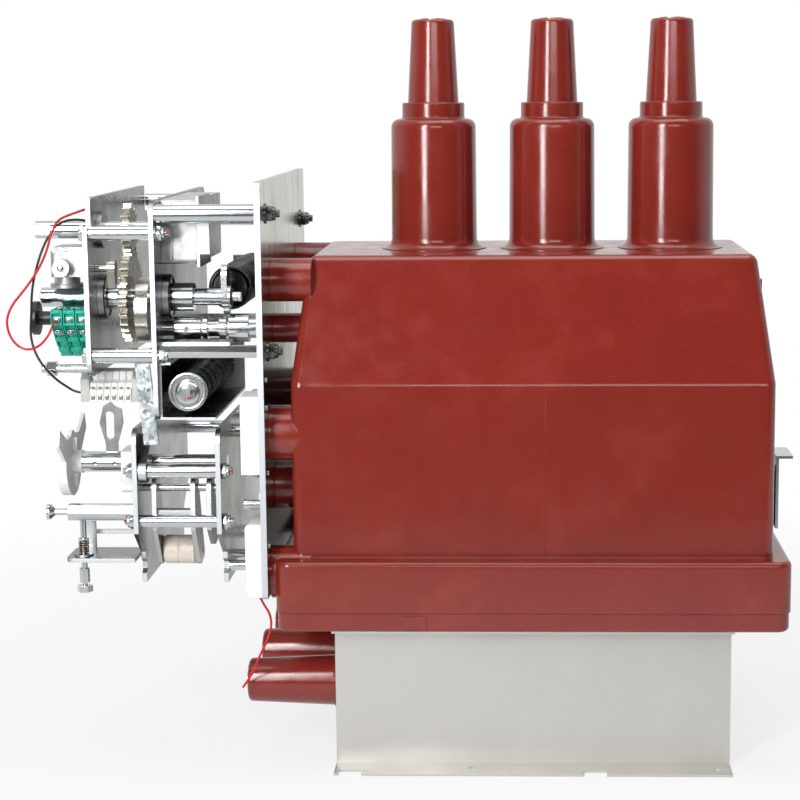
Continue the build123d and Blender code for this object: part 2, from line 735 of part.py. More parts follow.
def make_lower_plate(x):
    """A plate of the disconnector mechanism: waisted below, with a notched foot."""
    wide = LOWER_FOOT_HALF + FOOT_NOTCH
    narrow = LOWER_FOOT_HALF - FOOT_NOTCH
    side = [
        (LOWER_HALF_DEPTH, LOWER_TOP_Z), (LOWER_HALF_DEPTH, LOWER_KNEE_Z), (wide, LOWER_ANKLE_Z),
        (wide, LOWER_ANKLE_Z - FOOT_STEPS[0]), (narrow, LOWER_ANKLE_Z - FOOT_STEPS[1]),
        (narrow, LOWER_FOOT_Z + FOOT_STEPS[2]), (LOWER_FOOT_HALF, LOWER_FOOT_Z + FOOT_STEPS[3]),
        (LOWER_FOOT_HALF, LOWER_FOOT_Z),
    ]
    outline = [(-y, z) for y, z in side] + [(y, z) for y, z in reversed(side)]
    plate = sheet_x(outline, x, SHEET)
    top = [e for e in plate.edges().filter_by(Axis.X) if e.center().Z > LOWER_TOP_Z - 1]
    plate = fillet(top, CORNER_R)
    return plate - rod_x(x - 1, x + SHEET + 1, SHAFT_Y, SELECTOR_Z, SELECTOR_INNER_R + BORE_CLEAR)


def make_tie_rods():
    """The round spacers between the two upper plates."""
    return Compound(children=[
        rod_x(A_RIGHT, B_X, -ROD_Y, TIE_HIGH_Z, TIE_R), rod_x(A_RIGHT, B_X, ROD_Y, FAR_TIE_Z, FAR_TIE_R),
        rod_x(A_RIGHT, B_X, -ROD_Y, TIE_LOW_Z, TIE_R), rod_x(A_RIGHT, B_X, ROD_Y, TIE_LOW_Z, TIE_R),
    ])


def make_standoffs():
    """The spacers from the inner upper plate to the mounting plate: round above, hexagonal below."""
    return Compound(children=[
        rod_x(B_RIGHT, MECHANISM_FACE_X, -ROD_Y, STANDOFF_HIGH_Z, STANDOFF_R),
        rod_x(B_RIGHT, MECHANISM_FACE_X, ROD_Y, FAR_STANDOFF_Z, FAR_STANDOFF_R),
        hex_x(B_RIGHT, MECHANISM_FACE_X, -ROD_Y, STANDOFF_LOW_Z, HEX_STANDOFF),
        hex_x(B_RIGHT, MECHANISM_FACE_X, ROD_Y, STANDOFF_LOW_Z, HEX_STANDOFF),
    ])


def make_lower_rods():
    """The round spacers between the two lower plates, and the pin that carries the levers."""
    solids = []
    for side in (-1, 1):
        solids.append(rod_x(C_RIGHT, D_X, side * LOW_ROD_Y, LOW_ROD_Z, LOW_ROD_R))
        solids.append(rod_x(C_RIGHT, D_X, side * LOW_ROD_Y, LOW_ROD_2_Z, LOW_ROD_2_R))
    solids.append(rod_x(C_RIGHT, D_X, LEVER_PIN_Y, LEVER_PIN_Z, LEVER_PIN_R))
    return Compound(children=solids)


def make_lower_standoffs():
    """The spacers from the lower plates to the mounting plate, the cable box's spacer and the stud."""
    solids = [
        rod_x(D_RIGHT, MECHANISM_FACE_X, y, z, LOW_STANDOFF_R)
        for y in (-LOW_STANDOFF_Y, LOW_STANDOFF_Y) for z in (LOW_STANDOFF_HIGH_Z, LOW_STANDOFF_LOW_Z)
    ]
    solids.append(
        rod_x(
            D_RIGHT, MECHANISM_FACE_X - CABLE_BOX[0], SPACER_BOLT_Y, LOW_STANDOFF_LOW_Z, SPACER_BOLT_R
        )
    )
    solids.append(
        rod_x(
            MECHANISM_FACE_X - PLATE_STUD_LENGTH, MECHANISM_FACE_X,
            PLATE_STUD_Y, PLATE_STUD_Z, PLATE_STUD_R,
        )
    )
    return Compound(children=solids)


def make_bearing_rings():
    """The bearing rings on the plates that the two upper shafts turn in."""
    def ring(x, width, z, outer, shaft_r):
        solid = rod_x(x, x + width, SHAFT_Y, z, outer / 2)
        return solid - rod_x(x - 1, x + width + 1, SHAFT_Y, z, shaft_r + RUNNING)

    return Compound(children=[
        ring(A_RIGHT, RING_WIDTH, MAIN_Z, RING_OD, MAIN_R),
        ring(B_RIGHT, RING_WIDTH, MAIN_Z, RING_OD, MAIN_R),
        ring(A_RIGHT, CHARGE_RING_WIDTH, CHARGE_Z, CHARGE_RING_OD, CHARGE_R),
        ring(B_X - CHARGE_RING_WIDTH, CHARGE_RING_WIDTH, CHARGE_Z, CHARGE_RING_OD, CHARGE_R),
    ])


def make_main_shaft():
    """The main shaft, stepped down at its outer stub and towards the crank."""
    ring_end = B_RIGHT + RING_WIDTH
    return turned_x(
        [(MAIN_TIP_X, 0), (MAIN_TIP_X, MAIN_STUB_R - 1), (MAIN_TIP_X + 1, MAIN_STUB_R),
         (A_X, MAIN_STUB_R), (A_X, MAIN_R), (ring_end, MAIN_R), (ring_end, COLLAR_R),
         (COLLAR_X + COLLAR_WIDTH, COLLAR_R), (COLLAR_X + COLLAR_WIDTH, NECK_SHAFT_R),
         (CRANK_X, NECK_SHAFT_R), (CRANK_X, 0)], SHAFT_Y, MAIN_Z
    )


def make_gear_wheel():
    """The large gear wheel with its hub, which turns on the main shaft."""
    wheel = gear(WHEEL_TEETH, GEAR_X, GEAR_WIDTH, SHAFT_Y, MAIN_Z, 0)
    wheel += rod_x(GEAR_X - WHEEL_HUB_LEFT, GEAR_X, SHAFT_Y, MAIN_Z, WHEEL_HUB_R)
    right = GEAR_X + GEAR_WIDTH + 1
    return wheel - rod_x(GEAR_X - WHEEL_HUB_LEFT - 1, right, SHAFT_Y, MAIN_Z, MAIN_R + RUNNING)


def make_charging_shaft():
    """The charging shaft with flats at its outer end, where a hand crank goes on."""
    shoulder = A_X - SEAT
    shaft = rod_x(CHARGE_TIP_X, shoulder, SHAFT_Y, CHARGE_Z, CHARGE_STUB_R)
    shaft += rod_x(shoulder, B_RIGHT, SHAFT_Y, CHARGE_Z, CHARGE_R)
    for side in (-1, 1):
        y0, y1 = sorted((SHAFT_Y + side * CHARGE_FLAT, SHAFT_Y + side * (CHARGE_STUB_R + 1)))
        shaft -= block(
            CHARGE_TIP_X - 1, CHARGE_TIP_X + CHARGE_FLAT_LENGTH, y0, y1,
            CHARGE_Z - CHARGE_STUB_R - 1, CHARGE_Z + CHARGE_STUB_R + 1,
        )
    return shaft


def make_pinion():
    """The pinion on the charging shaft, in mesh with the gear wheel."""
    half_tooth = 180.0 / PINION_TEETH
    pinion = gear(PINION_TEETH, GEAR_X, GEAR_WIDTH, SHAFT_Y, CHARGE_Z, 180 + half_tooth)
    return pinion - rod_x(GEAR_X - 1, GEAR_X + GEAR_WIDTH + 1, SHAFT_Y, CHARGE_Z, CHARGE_R)


def make_cam():
    """The eccentric closing cam on the main shaft."""
    disc = rod_x(CAM_X, CAM_X + CAM_WIDTH, SHAFT_Y, MAIN_Z - CAM_DROP, CAM_R)
    return disc - rod_x(CAM_X - 1, CAM_X + CAM_WIDTH + 1, SHAFT_Y, MAIN_Z, MAIN_R)


def make_crank():
    """The crank at the inner end of the main shaft, with its curved tail, washer and bolt end."""
    right = CRANK_X + CRANK_THICK
    tail_y = SHAFT_Y + CRANK_TAIL[0]
    tail_z = MAIN_Z + CRANK_TAIL[1]
    hub = rod_x(CRANK_X, right, SHAFT_Y, MAIN_Z, CRANK_R)
    tip = rod_x(CRANK_X, right, SHAFT_Y, MAIN_Z + CRANK_THROW, CRANK_R)
    arm = block(CRANK_X, right, SHAFT_Y - CRANK_R, SHAFT_Y + CRANK_R, MAIN_Z, MAIN_Z + CRANK_THROW)
    tail = rod_x(CRANK_X, right, tail_y, tail_z, CRANK_TAIL_R)
    washer = rod_x(right, right + CRANK_WASHER, SHAFT_Y, MAIN_Z, WASHER_R)
    bolt = rod_x(right, CRANK_TIP_X, SHAFT_Y, MAIN_Z, CRANK_BOLT_R)
    hook_x = CRANK_X + CRANK_THICK / 2
    hook = rod_y(SHAFT_Y, UPPER_SPRING_Y, hook_x, MAIN_Z + CRANK_THROW / 2, CRANK_HOOK_R)
    return hub + tip + arm + tail + washer + bolt + hook


def make_pawl():
    """The holding pawl on its pin at the outer plate."""
    pin = rod_x(A_RIGHT, PAWL_X + PAWL_THICK, PAWL_Y, PAWL_Z, PAWL_PIN_R)
    body = rod_x(PAWL_X, PAWL_X + PAWL_THICK, PAWL_Y, PAWL_Z, PAWL_R)
    nose = sheet_x([
        (PAWL_Y - PAWL_R, PAWL_Z), (PAWL_Y + PAWL_R, PAWL_Z),
        (PAWL_Y + PAWL_NOSE_FAR, PAWL_Z - PAWL_NOSE), (PAWL_Y - PAWL_NOSE_NEAR, PAWL_Z - PAWL_NOSE),
    ], PAWL_X, PAWL_THICK)
    return pin + body + nose


def ribbed_y(y0, length, x, z, outer_r, rib, coils):
    """A close-wound spring as a ribbed bar along Y."""
    step = length / coils
    points = [(0, 0)]
    for k in range(coils):
        points += [
            (outer_r - rib, k * step), (outer_r, (k + 0.3) * step),
            (outer_r, (k + 0.7) * step), (outer_r - rib, (k + 1) * step),
        ]
    points.append((0, length))
    kept = [p for k, p in enumerate(points) if k == 0 or p != points[k - 1]]
    face = make_face(Polyline(*[(r, h, 0) for r, h in kept], close=True))
    return Pos(x, y0, z) * revolve(face, Axis.Y)


def make_upper_spring():
    """The closing spring behind the crank."""
    return ribbed_y(
        UPPER_SPRING_Y, UPPER_SPRING_LENGTH, UPPER_SPRING_X, UPPER_SPRING_Z, UPPER_SPRING_R,
        SPRING_RIB, UPPER_COILS
    )


def make_spring_anchor():
    """The plate on the mounting plate that holds the far end of the upper spring."""
    y = UPPER_SPRING_Y + UPPER_SPRING_LENGTH
    half = ANCHOR_HEIGHT / 2
    return block(
        UPPER_SPRING_X - UPPER_SPRING_R, MECHANISM_FACE_X, y, y + ANCHOR_THICK,
        UPPER_SPRING_Z - half, UPPER_SPRING_Z + half,
    )


def make_lower_spring():
    """The opening spring in its bracket."""
    length = BRACKET_BACK_Y - BRACKET_SHEET - LOWER_SPRING_Y
    return ribbed_y(
        LOWER_SPRING_Y, length, LOWER_SPRING_X, LOWER_SPRING_Z, LOWER_SPRING_R, SPRING_RIB, LOWER_COILS
    )


def make_spring_disc():
    """The end disc of the lower spring, with the stud that its nut is on."""
    near = LOWER_SPRING_Y - DISC_THICK
    disc = rod_y(near, LOWER_SPRING_Y, LOWER_SPRING_X, LOWER_SPRING_Z, DISC_R)
    return disc + rod_y(near - STUD_PROUD, near, LOWER_SPRING_X, LOWER_SPRING_Z, STUD_R)


def make_spring_bracket():
    """The folded bracket round the lower spring, on the inner upper plate."""
    left = B_RIGHT
    near = -UPPER_HALF_DEPTH + BRACKET_NEAR_IN
    sheet = BRACKET_SHEET
    wall = block(left, left + sheet, near, BRACKET_BACK_Y, BRACKET_LOW_Z, BRACKET_TOP_Z)
    floor = block(left, BRACKET_RIGHT_X, near, BRACKET_BACK_Y, BRACKET_LOW_Z, BRACKET_LOW_Z + sheet)
    lip = block(left, left + BRACKET_LIP, near, BRACKET_BACK_Y, BRACKET_TOP_Z - sheet, BRACKET_TOP_Z)
    back = block(
        left, BRACKET_RIGHT_X, BRACKET_BACK_Y - sheet, BRACKET_BACK_Y, BRACKET_LOW_Z, BRACKET_TOP_Z
    )
    return wall + floor + lip + back


def make_motor_gearbox():
    """The cast gearbox of the charging motor, on the inner upper plate."""
    right = B_RIGHT + MOTOR_LENGTH
    body = block(B_RIGHT, right, MOTOR_NEAR_Y, MOTOR_FAR_Y, MOTOR_LOW_Z, MOTOR_TOP_Z)
    body = round_x_edges(body, MOTOR_ROUND)
    split = B_RIGHT + MOTOR_SPLIT
    groove = block(
        split, split + 1, MOTOR_NEAR_Y - 1, MOTOR_NEAR_Y + 1, MOTOR_LOW_Z - 1, MOTOR_TOP_Z + 1
    )
    return body - groove - rod_x(B_RIGHT - 1, B_RIGHT + 2, SHAFT_Y, CHARGE_Z, CHARGE_R + 1)


def make_motor_bracket():
    """The folded end bracket of the motor gearbox."""
    left = B_RIGHT + MOTOR_LENGTH
    right = left + MOTOR_BRACKET_LENGTH
    sheet = MOTOR_BRACKET_SHEET
    low = MOTOR_LOW_Z - MOTOR_BRACKET_OVER
    top = MOTOR_TOP_Z + MOTOR_BRACKET_OVER
    foot = block(left, left + sheet, MOTOR_NEAR_Y, MOTOR_BRACKET_FAR_Y, low, top)
    wing_low = MOTOR_LOW_Z + MOTOR_BRACKET_IN
    wing_top = MOTOR_TOP_Z - MOTOR_BRACKET_IN
    wing = block(left, right, MOTOR_NEAR_Y, MOTOR_NEAR_Y + sheet, wing_low, wing_top)
    return foot + wing


def make_gear_block():
    """The cast block on the outer plate: cap, body, round neck with its flange, and the knob."""
    body = block(BLOCK_X, A_X, BLOCK_NEAR_Y, BLOCK_FAR_Y, BLOCK_SHOULDER_Z, BLOCK_TOP_Z - BLOCK_CAP)
    body = fillet(body.edges().filter_by(Axis.Z), BLOCK_ROUND)
    inset = BLOCK_CAP_IN
    cap_z = BLOCK_TOP_Z - BLOCK_CAP
    cap = block(BLOCK_X + inset, A_X, BLOCK_NEAR_Y + inset, BLOCK_FAR_Y - inset, cap_z, BLOCK_TOP_Z)
    neck_y = BLOCK_NEAR_Y + BLOCK_FLANGE_R
    neck = rod_z(BLOCK_LOW_Z, BLOCK_SHOULDER_Z, KNOB_X, neck_y, BLOCK_NECK_R)
    flange = rod_z(BLOCK_LOW_Z, BLOCK_LOW_Z + BLOCK_FLANGE, KNOB_X, neck_y, BLOCK_FLANGE_R)
    knob_y = BLOCK_NEAR_Y - KNOB_LENGTH
    shank = rod_y(knob_y, BLOCK_NEAR_Y, KNOB_X, KNOB_Z, KNOB_SHANK_R)
    knob = rod_y(knob_y, knob_y + KNOB_DISC, KNOB_X, KNOB_Z, KNOB_R)
    return body + cap + neck + flange + shank + knob


def make_aux_switch():
    """The auxiliary switch: equal layers along X with slots between, slanted back below."""
    left = A_X - SWITCH_LAYER * SWITCH_LAYERS
    body = sheet_x([
        (SWITCH_NEAR_Y, SWITCH_TOP_Z), (SWITCH_NEAR_Y, SWITCH_KNEE_Z), (SWITCH_FAR_Y, SWITCH_LOW_Z),
        (SWITCH_BACK_Y, SWITCH_LOW_Z), (SWITCH_BACK_Y, SWITCH_BACK_Z), (SWITCH_FAR_Y, SWITCH_BACK_Z),
        (SWITCH_FAR_Y, SWITCH_TOP_Z),
    ], left, SWITCH_LAYER * SWITCH_LAYERS)
    deep = SWITCH_SLOT_DEPTH
    for k in range(1, SWITCH_LAYERS):
        body -= sheet_x([
            (SWITCH_NEAR_Y - 1, SWITCH_TOP_Z + 1), (SWITCH_NEAR_Y - 1, SWITCH_KNEE_Z),
            (SWITCH_FAR_Y - 1, SWITCH_LOW_Z - 1), (SWITCH_FAR_Y + deep, SWITCH_LOW_Z - 1),
            (SWITCH_NEAR_Y + deep, SWITCH_KNEE_Z), (SWITCH_NEAR_Y + deep, SWITCH_TOP_Z + 1),
        ], left + k * SWITCH_LAYER - SWITCH_SLOT / 2, SWITCH_SLOT)
    return body


def make_switch_dial():
    """The black dial on the auxiliary switch."""
    left = A_X - SWITCH_LAYER * SWITCH_LAYERS
    dial = rod_x(DIAL_X, DIAL_X + DIAL_THICK, DIAL_Y, DIAL_Z, DIAL_R)
    return dial + rod_x(DIAL_X + DIAL_THICK, left, DIAL_Y, DIAL_Z, DIAL_HUB_R)


def make_terminal_strip():
    """The terminal strip under the outer plate, with an end piece at each side."""
    white = TERMINALS * TERMINAL_PITCH
    right = TERMINAL_X + 2 * TERMINAL_END + white
    low = A_LOW_Z - TERMINAL_HEIGHT
    body = block(TERMINAL_X, right, TERMINAL_NEAR_Y, TERMINAL_FAR_Y, low, A_LOW_Z)
    step = block(
        TERMINAL_X + TERMINAL_END, right - TERMINAL_END,
        TERMINAL_NEAR_Y - 1, TERMINAL_NEAR_Y + TERMINAL_STEP, A_LOW_Z - TERMINAL_STEP, A_LOW_Z + 1,
    )
    return body - step


def make_long_bolt():
    """The adjusting bolt on the outer plate."""
    shank = rod_x(BOLT_TIP_X, A_X, -ROD_Y, BOLT_Z, BOLT_R)
    return shank + hex_x(BOLT_HEAD_X, BOLT_HEAD_X + BOLT_HEAD, -ROD_Y, BOLT_Z, 2 * BOLT_HEAD_R)


def make_slant_bar():
    """The leaning galvanised bar between the upper and the lower mechanism."""
    right_top = B_X - SLANT_BAR_LEAN * (SLANT_BAR_TOP_Z - B_LOW_Z) / (SLANT_BAR_TOP_Z - SLANT_BAR_LOW_Z)
    right_low = right_top + SLANT_BAR_LEAN
    return sheet_y([
        (right_top - SLANT_BAR_WIDTH, SLANT_BAR_TOP_Z), (right_top, SLANT_BAR_TOP_Z),
        (right_low, SLANT_BAR_LOW_Z), (right_low - SLANT_BAR_WIDTH, SLANT_BAR_LOW_Z),
    ], -ROD_Y, SLANT_BAR_THICK)


def make_shelf():
    """The narrow shelf on the lower near standoff."""
    low = STANDOFF_LOW_Z + HEX_STANDOFF / 2
    near = -ROD_Y + SHELF_IN
    return block(B_RIGHT, SHELF_X, near, near + SHELF_DEPTH, low, low + SHELF_SHEET)


def make_drive_shaft():
    """The disconnector drive shaft: coupling, rings, block and the end through the mounting plate."""
    c0 = COUPLING_X
    c1 = c0 + COUPLING_LENGTH
    b0 = DRIVE_BLOCK_X
    b1 = b0 + DRIVE_BLOCK_LENGTH
    r0 = c1 + DRIVE_RING_GAP
    r1 = r0 + DRIVE_RING_WIDTH
    r3 = b0 - INNER_RING_GAP
    r2 = r3 - INNER_RING_WIDTH
    end = MECHANISM_FACE_X + PLATE_THICK
    shaft = turned_x(
        [(B_RIGHT, 0), (B_RIGHT, DRIVE_STUB_R), (c0, DRIVE_STUB_R), (c0, COUPLING_R), (c1, COUPLING_R),
         (c1, DRIVE_R), (r0, DRIVE_R), (r0, DRIVE_RING_R), (r1, DRIVE_RING_R), (r1, DRIVE_R),
         (r2, DRIVE_R), (r2, DRIVE_RING_R), (r3, DRIVE_RING_R), (r3, DRIVE_R), (b0, DRIVE_R),
         (b0, DRIVE_BLOCK_R), (b1, DRIVE_BLOCK_R), (b1, DRIVE_END_R), (end, DRIVE_END_R), (end, 0)],
        SHAFT_Y, DRIVE_Z
    )
    x = (c0 + c1) / 2
    return shaft - rod_y(SHAFT_Y - COUPLING_R - 1, SHAFT_Y, x, DRIVE_Z, COUPLING_HOLE_R)


def make_selector_shaft():
    """The three-position shaft, stepped down between the lower plates."""
    step = C_X - SELECTOR_STEP
    shaft = turned_x(
        [(SELECTOR_TIP_X, 0), (SELECTOR_TIP_X, SELECTOR_R), (step, SELECTOR_R), (step, SELECTOR_INNER_R),
         (D_RIGHT, SELECTOR_INNER_R), (D_RIGHT, 0)], SHAFT_Y, SELECTOR_Z
    )
    for x in SELECTOR_DOTS:
        shaft -= rod_y(SHAFT_Y - SELECTOR_R - 1, SHAFT_Y - SELECTOR_R + 3, x, SELECTOR_Z, SELECTOR_HOLE_R)
    return shaft


def make_notched_disc():
    """The plastic disc of the selector: a notched fan above, a round pan below, and the hub with ribs."""
    left = FAN_RIGHT_X - FAN_THICK
    y = SHAFT_Y
    z = SELECTOR_Z
    hump = ThreePointArc(
        (left, y + FAN_HUMP_HALF, z + FAN_HUMP_TOP - FAN_HUMP_HALF / 2), (left, y, z + FAN_HUMP_TOP),
        (left, y - FAN_HUMP_HALF, z + FAN_HUMP_TOP - FAN_HUMP_HALF / 2)
    )
    rim = Polyline(
        hump @ 1, (left, y - FAN_VALLEY[0], z + FAN_VALLEY[1]), (left, y - FAN_HORN[0], z + FAN_HORN[1]),
        (left, y - FAN_CORNER[0], z + FAN_CORNER[1]), (left, y - FAN_WAIST[0], z + FAN_WAIST[1]),
        (left, y, z), (left, y + FAN_WAIST[0], z + FAN_WAIST[1]),
        (left, y + FAN_CORNER[0], z + FAN_CORNER[1]), (left, y + FAN_HORN[0], z + FAN_HORN[1]),
        (left, y + FAN_VALLEY[0], z + FAN_VALLEY[1]), hump @ 0,
    )
    fan = extrude(make_face(hump.edges() + rim.edges()), FAN_THICK, dir=(1, 0, 0))
    plate = rod_x(left, FAN_RIGHT_X, y, z, PAN_R)
    wall = rod_x(PAN_X, left, y, z, PAN_R) - rod_x(PAN_X - 1, left, y, z, PAN_R - PAN_WALL)
    wall -= block(PAN_X - 1, left, y - PAN_R - 1, y + PAN_R + 1, z + FAN_WAIST[1], z + PAN_R + 1)
    plate -= block(left - 1, FAN_RIGHT_X + 1, y - PAN_R - 1, y + PAN_R + 1, z + FAN_WAIST[1], z + PAN_R + 1)
    hub = rod_x(FAN_RIGHT_X, FAN_HUB_END_X, y, z, FAN_HUB_R)
    rib = block(
        FAN_RIGHT_X, FAN_RIGHT_X + FAN_RIB, y - FAN_RIB_THICK / 2, y + FAN_RIB_THICK / 2,
        z - FAN_RIB_TOP, z + FAN_RIB_TOP,
    )
    disc = fan + plate + wall + hub + rib
    return disc - rod_x(SELECTOR_TIP_X, FAN_HUB_END_X + 1, y, z, SELECTOR_R)


def make_hasp():
    """The flat padlock ring that stands on the selector shaft."""
    z = SELECTOR_Z
    y = SHAFT_Y - HASP_THICK / 2
    foot = SELECTOR_R - 1
    outline = [
        (-HASP_FOOT_HALF, foot), (HASP_FOOT_HALF, foot), (HASP_FOOT_HALF, HASP_FOOT_TOP),
        (HASP_WIDE_HALF, HASP_WIDE), HASP_RIGHT_SHOULDER, HASP_DIP, HASP_PEAK, HASP_PEAK_LEFT,
        HASP_LEFT_SHOULDER, (-HASP_WIDE_HALF, HASP_WIDE), (-HASP_FOOT_HALF, HASP_FOOT_TOP),
    ]
    ring = sheet_y([(HASP_X + dx, z + dz) for dx, dz in outline], y, HASP_THICK)
    half = HASP_SLOT_WIDTH / 2
    slot = block(
        HASP_SLOT_X - half, HASP_SLOT_X + half, y - 1, y + HASP_THICK + 1,
        z + HASP_SLOT_LOW, z + HASP_SLOT_TOP,
    )
    slot = fillet(slot.edges().filter_by(Axis.Y), HASP_SLOT_ROUND)
    reach = HASP_WIDE_HALF + 1
    return ring - slot - rod_x(HASP_X - reach, HASP_X + reach, SHAFT_Y, z, SELECTOR_R)


def make_bearing_block():
    """The white bearing block of the selector shaft, on the outer lower plate."""
    y0 = SHAFT_Y - BLOCK2_HALF_Y
    y1 = SHAFT_Y + BLOCK2_HALF_Y
    body = round_x_edges(block(BLOCK2_X, C_X, y0, y1, BLOCK2_LOW_Z, BLOCK2_TOP_Z), BLOCK2_ROUND)
    return body - rod_x(BLOCK2_X - 1, C_X + 1, SHAFT_Y, SELECTOR_Z, SELECTOR_R + RUNNING)


def make_hex_bar():
    """The hexagonal bar on the outer lower plate, with the flared horn at its tip."""
    bar = hex_x(HEX_TIP_X, C_X, HEX_Y, HEX_Z, HEX_FLATS)
    rim_x = HORN_TIP_X + HORN_RIM
    horn = turned_x(
        [(HORN_TIP_X, 0), (HORN_TIP_X, HORN_R), (rim_x, HORN_R), (rim_x + HORN_CONE, HORN_NECK_R),
         (HEX_TIP_X, HORN_NECK_R), (HEX_TIP_X, 0)], HEX_Y, HEX_Z
    )
    return bar + horn


def make_pin_bracket():
    """The bracket that guides the interlock pin, with its upright rib and the washer of the spring."""
    top = PIN_BRACKET_Z + PIN_BRACKET_SHEET / 2
    low = PIN_BRACKET_Z - PIN_BRACKET_SHEET / 2
    plate = block(PIN_BRACKET_X, C_X, PIN_BRACKET_NEAR_Y, PIN_BRACKET_FAR_Y, low, top)
    corners = [e for e in plate.edges().filter_by(Axis.Z) if e.center().X < PIN_BRACKET_X + 1]
    plate = fillet(corners, PIN_BRACKET_CORNER)
    right = PIN_RIB_X + PIN_RIB_WIDTH
    rib = sheet_y([
        (PIN_RIB_X, top), (PIN_RIB_X, PIN_RIB_TOP_Z), (right, PIN_RIB_TOP_Z), (right, PIN_RIB_BAR_TOP_Z),
        (C_X, PIN_RIB_BAR_TOP_Z), (C_X, PIN_RIB_BAR_LOW_Z), (right, PIN_RIB_BAR_LOW_Z), (right, top),
    ], PIN_BRACKET_FAR_Y - PIN_RIB_SHEET, PIN_RIB_SHEET)
    washer = rod_z(top, top + PIN_WASHER, PIN_X, HEX_Y, PIN_WASHER_R)
    bore = rod_z(low - 1, top + PIN_WASHER + 1, PIN_X, HEX_Y, PIN_R + RUNNING)
    return plate + rib + washer - bore


def make_interlock_pin():
    """The sprung interlock pin: tip, collar, guided rod, sleeve, neck and hex head."""
    top = HEX_Z - HEX_FLATS / 2 - SEAT
    bracket_low = PIN_BRACKET_Z - PIN_BRACKET_SHEET / 2
    neck_low = PIN_SLEEVE_LOW_Z - PIN_NECK
    rod = rod_z(PIN_SLEEVE_LOW_Z, top, PIN_X, HEX_Y, PIN_R)
    collar = rod_z(PIN_COLLAR_Z, PIN_COLLAR_Z + PIN_COLLAR_HEIGHT, PIN_X, HEX_Y, PIN_COLLAR_R)
    sleeve = rod_z(PIN_SLEEVE_LOW_Z, bracket_low - PIN_SLEEVE_GAP, PIN_X, HEX_Y, PIN_SLEEVE_R)
    neck = rod_z(neck_low, PIN_SLEEVE_LOW_Z, PIN_X, HEX_Y, PIN_NECK_R)
    hexagon = extrude(RegularPolygon(PIN_HEAD_R, 6), neck_low - PIN_HEAD_LOW_Z)
    head = Pos(PIN_X, HEX_Y, PIN_HEAD_LOW_Z) * hexagon
    return rod + collar + sleeve + neck + head


def make_pin_spring():
    """The return spring of the interlock pin, as a ribbed tube."""
    low = PIN_BRACKET_Z + PIN_BRACKET_SHEET / 2 + PIN_WASHER
    height = PIN_COLLAR_Z - low
    step = height / PIN_SPRING_COILS
    inner = PIN_R + SEAT
    valley = PIN_SPRING_R - PIN_SPRING_WIRE
    points = [(inner, 0)]
    for k in range(PIN_SPRING_COILS):
        points += [(valley, k * step), (PIN_SPRING_R, (k + 0.5) * step)]
    points += [(valley, height), (inner, height)]
    return turned_z(points, PIN_X, HEX_Y, low)


def make_lever(x, knee, toe, heel):
    """One lever plate: a round eye at its pin, and an arm that leans back to its toe."""
    arm = sheet_x([
        (LEVER_PIN_Y - LEVER_R, LEVER_PIN_Z), knee, toe, heel, (LEVER_BACK_Y, knee[1]),
        (LEVER_PIN_Y + LEVER_R, LEVER_PIN_Z),
    ], x, LEVER_THICK)
    low = [e for e in arm.edges().filter_by(Axis.X) if e.center().Z < LEVER_PIN_Z - 1]
    arm = fillet(low, LEVER_ROUND)
    lever = arm + rod_x(x, x + LEVER_THICK, LEVER_PIN_Y, LEVER_PIN_Z, LEVER_R)
    return lever - rod_x(x - 1, x + LEVER_THICK + 1, LEVER_PIN_Y, LEVER_PIN_Z, LEVER_PIN_R + RUNNING)


def make_levers():
    """The three lever plates that hang on the lever pin, with the square bar between two of them."""
    solids = []
    for x in LEVER_X[:2]:
        lever = make_lever(x, LEVER_KNEE, LEVER_TOE, LEVER_HEEL)
        solids.append(lever - rod_x(x - 1, x + LEVER_THICK + 1, ROLLER_Y, ROLLER_Z, LEVER_PIN_R + RUNNING))
    solids.append(make_lever(LEVER_X[2], LEVER_KNEE, SHORT_TOE, SHORT_HEEL))
    half = SPACER_SIDE / 2
    solids.append(block(
        LEVER_X[0] + LEVER_THICK, LEVER_X[1], SPACER_Y - half / 2, SPACER_Y + half,
        SPACER_Z - half, SPACER_Z + half,
    ))
    return Compound(children=solids)


def make_roller():
    """The grooved nylon roller between two levers, with its axle."""
    left = LEVER_X[0] + LEVER_THICK + SEAT
    right = LEVER_X[1] - SEAT
    middle = (left + right) / 2
    edge_r = ROLLER_R - ROLLER_ROUND
    axle_end = LEVER_X[1] + LEVER_THICK
    half = ROLLER_GROOVE_HALF
    return turned_x(
        [(LEVER_X[0], 0), (LEVER_X[0], LEVER_PIN_R), (left, LEVER_PIN_R), (left, edge_r),
         (left + ROLLER_ROUND, ROLLER_R), (middle - half, ROLLER_R), (middle, ROLLER_R - ROLLER_GROOVE),
         (middle + half, ROLLER_R), (right - ROLLER_ROUND, ROLLER_R), (right, edge_r),
         (right, LEVER_PIN_R), (axle_end, LEVER_PIN_R), (axle_end, 0)], ROLLER_Y, ROLLER_Z
    )


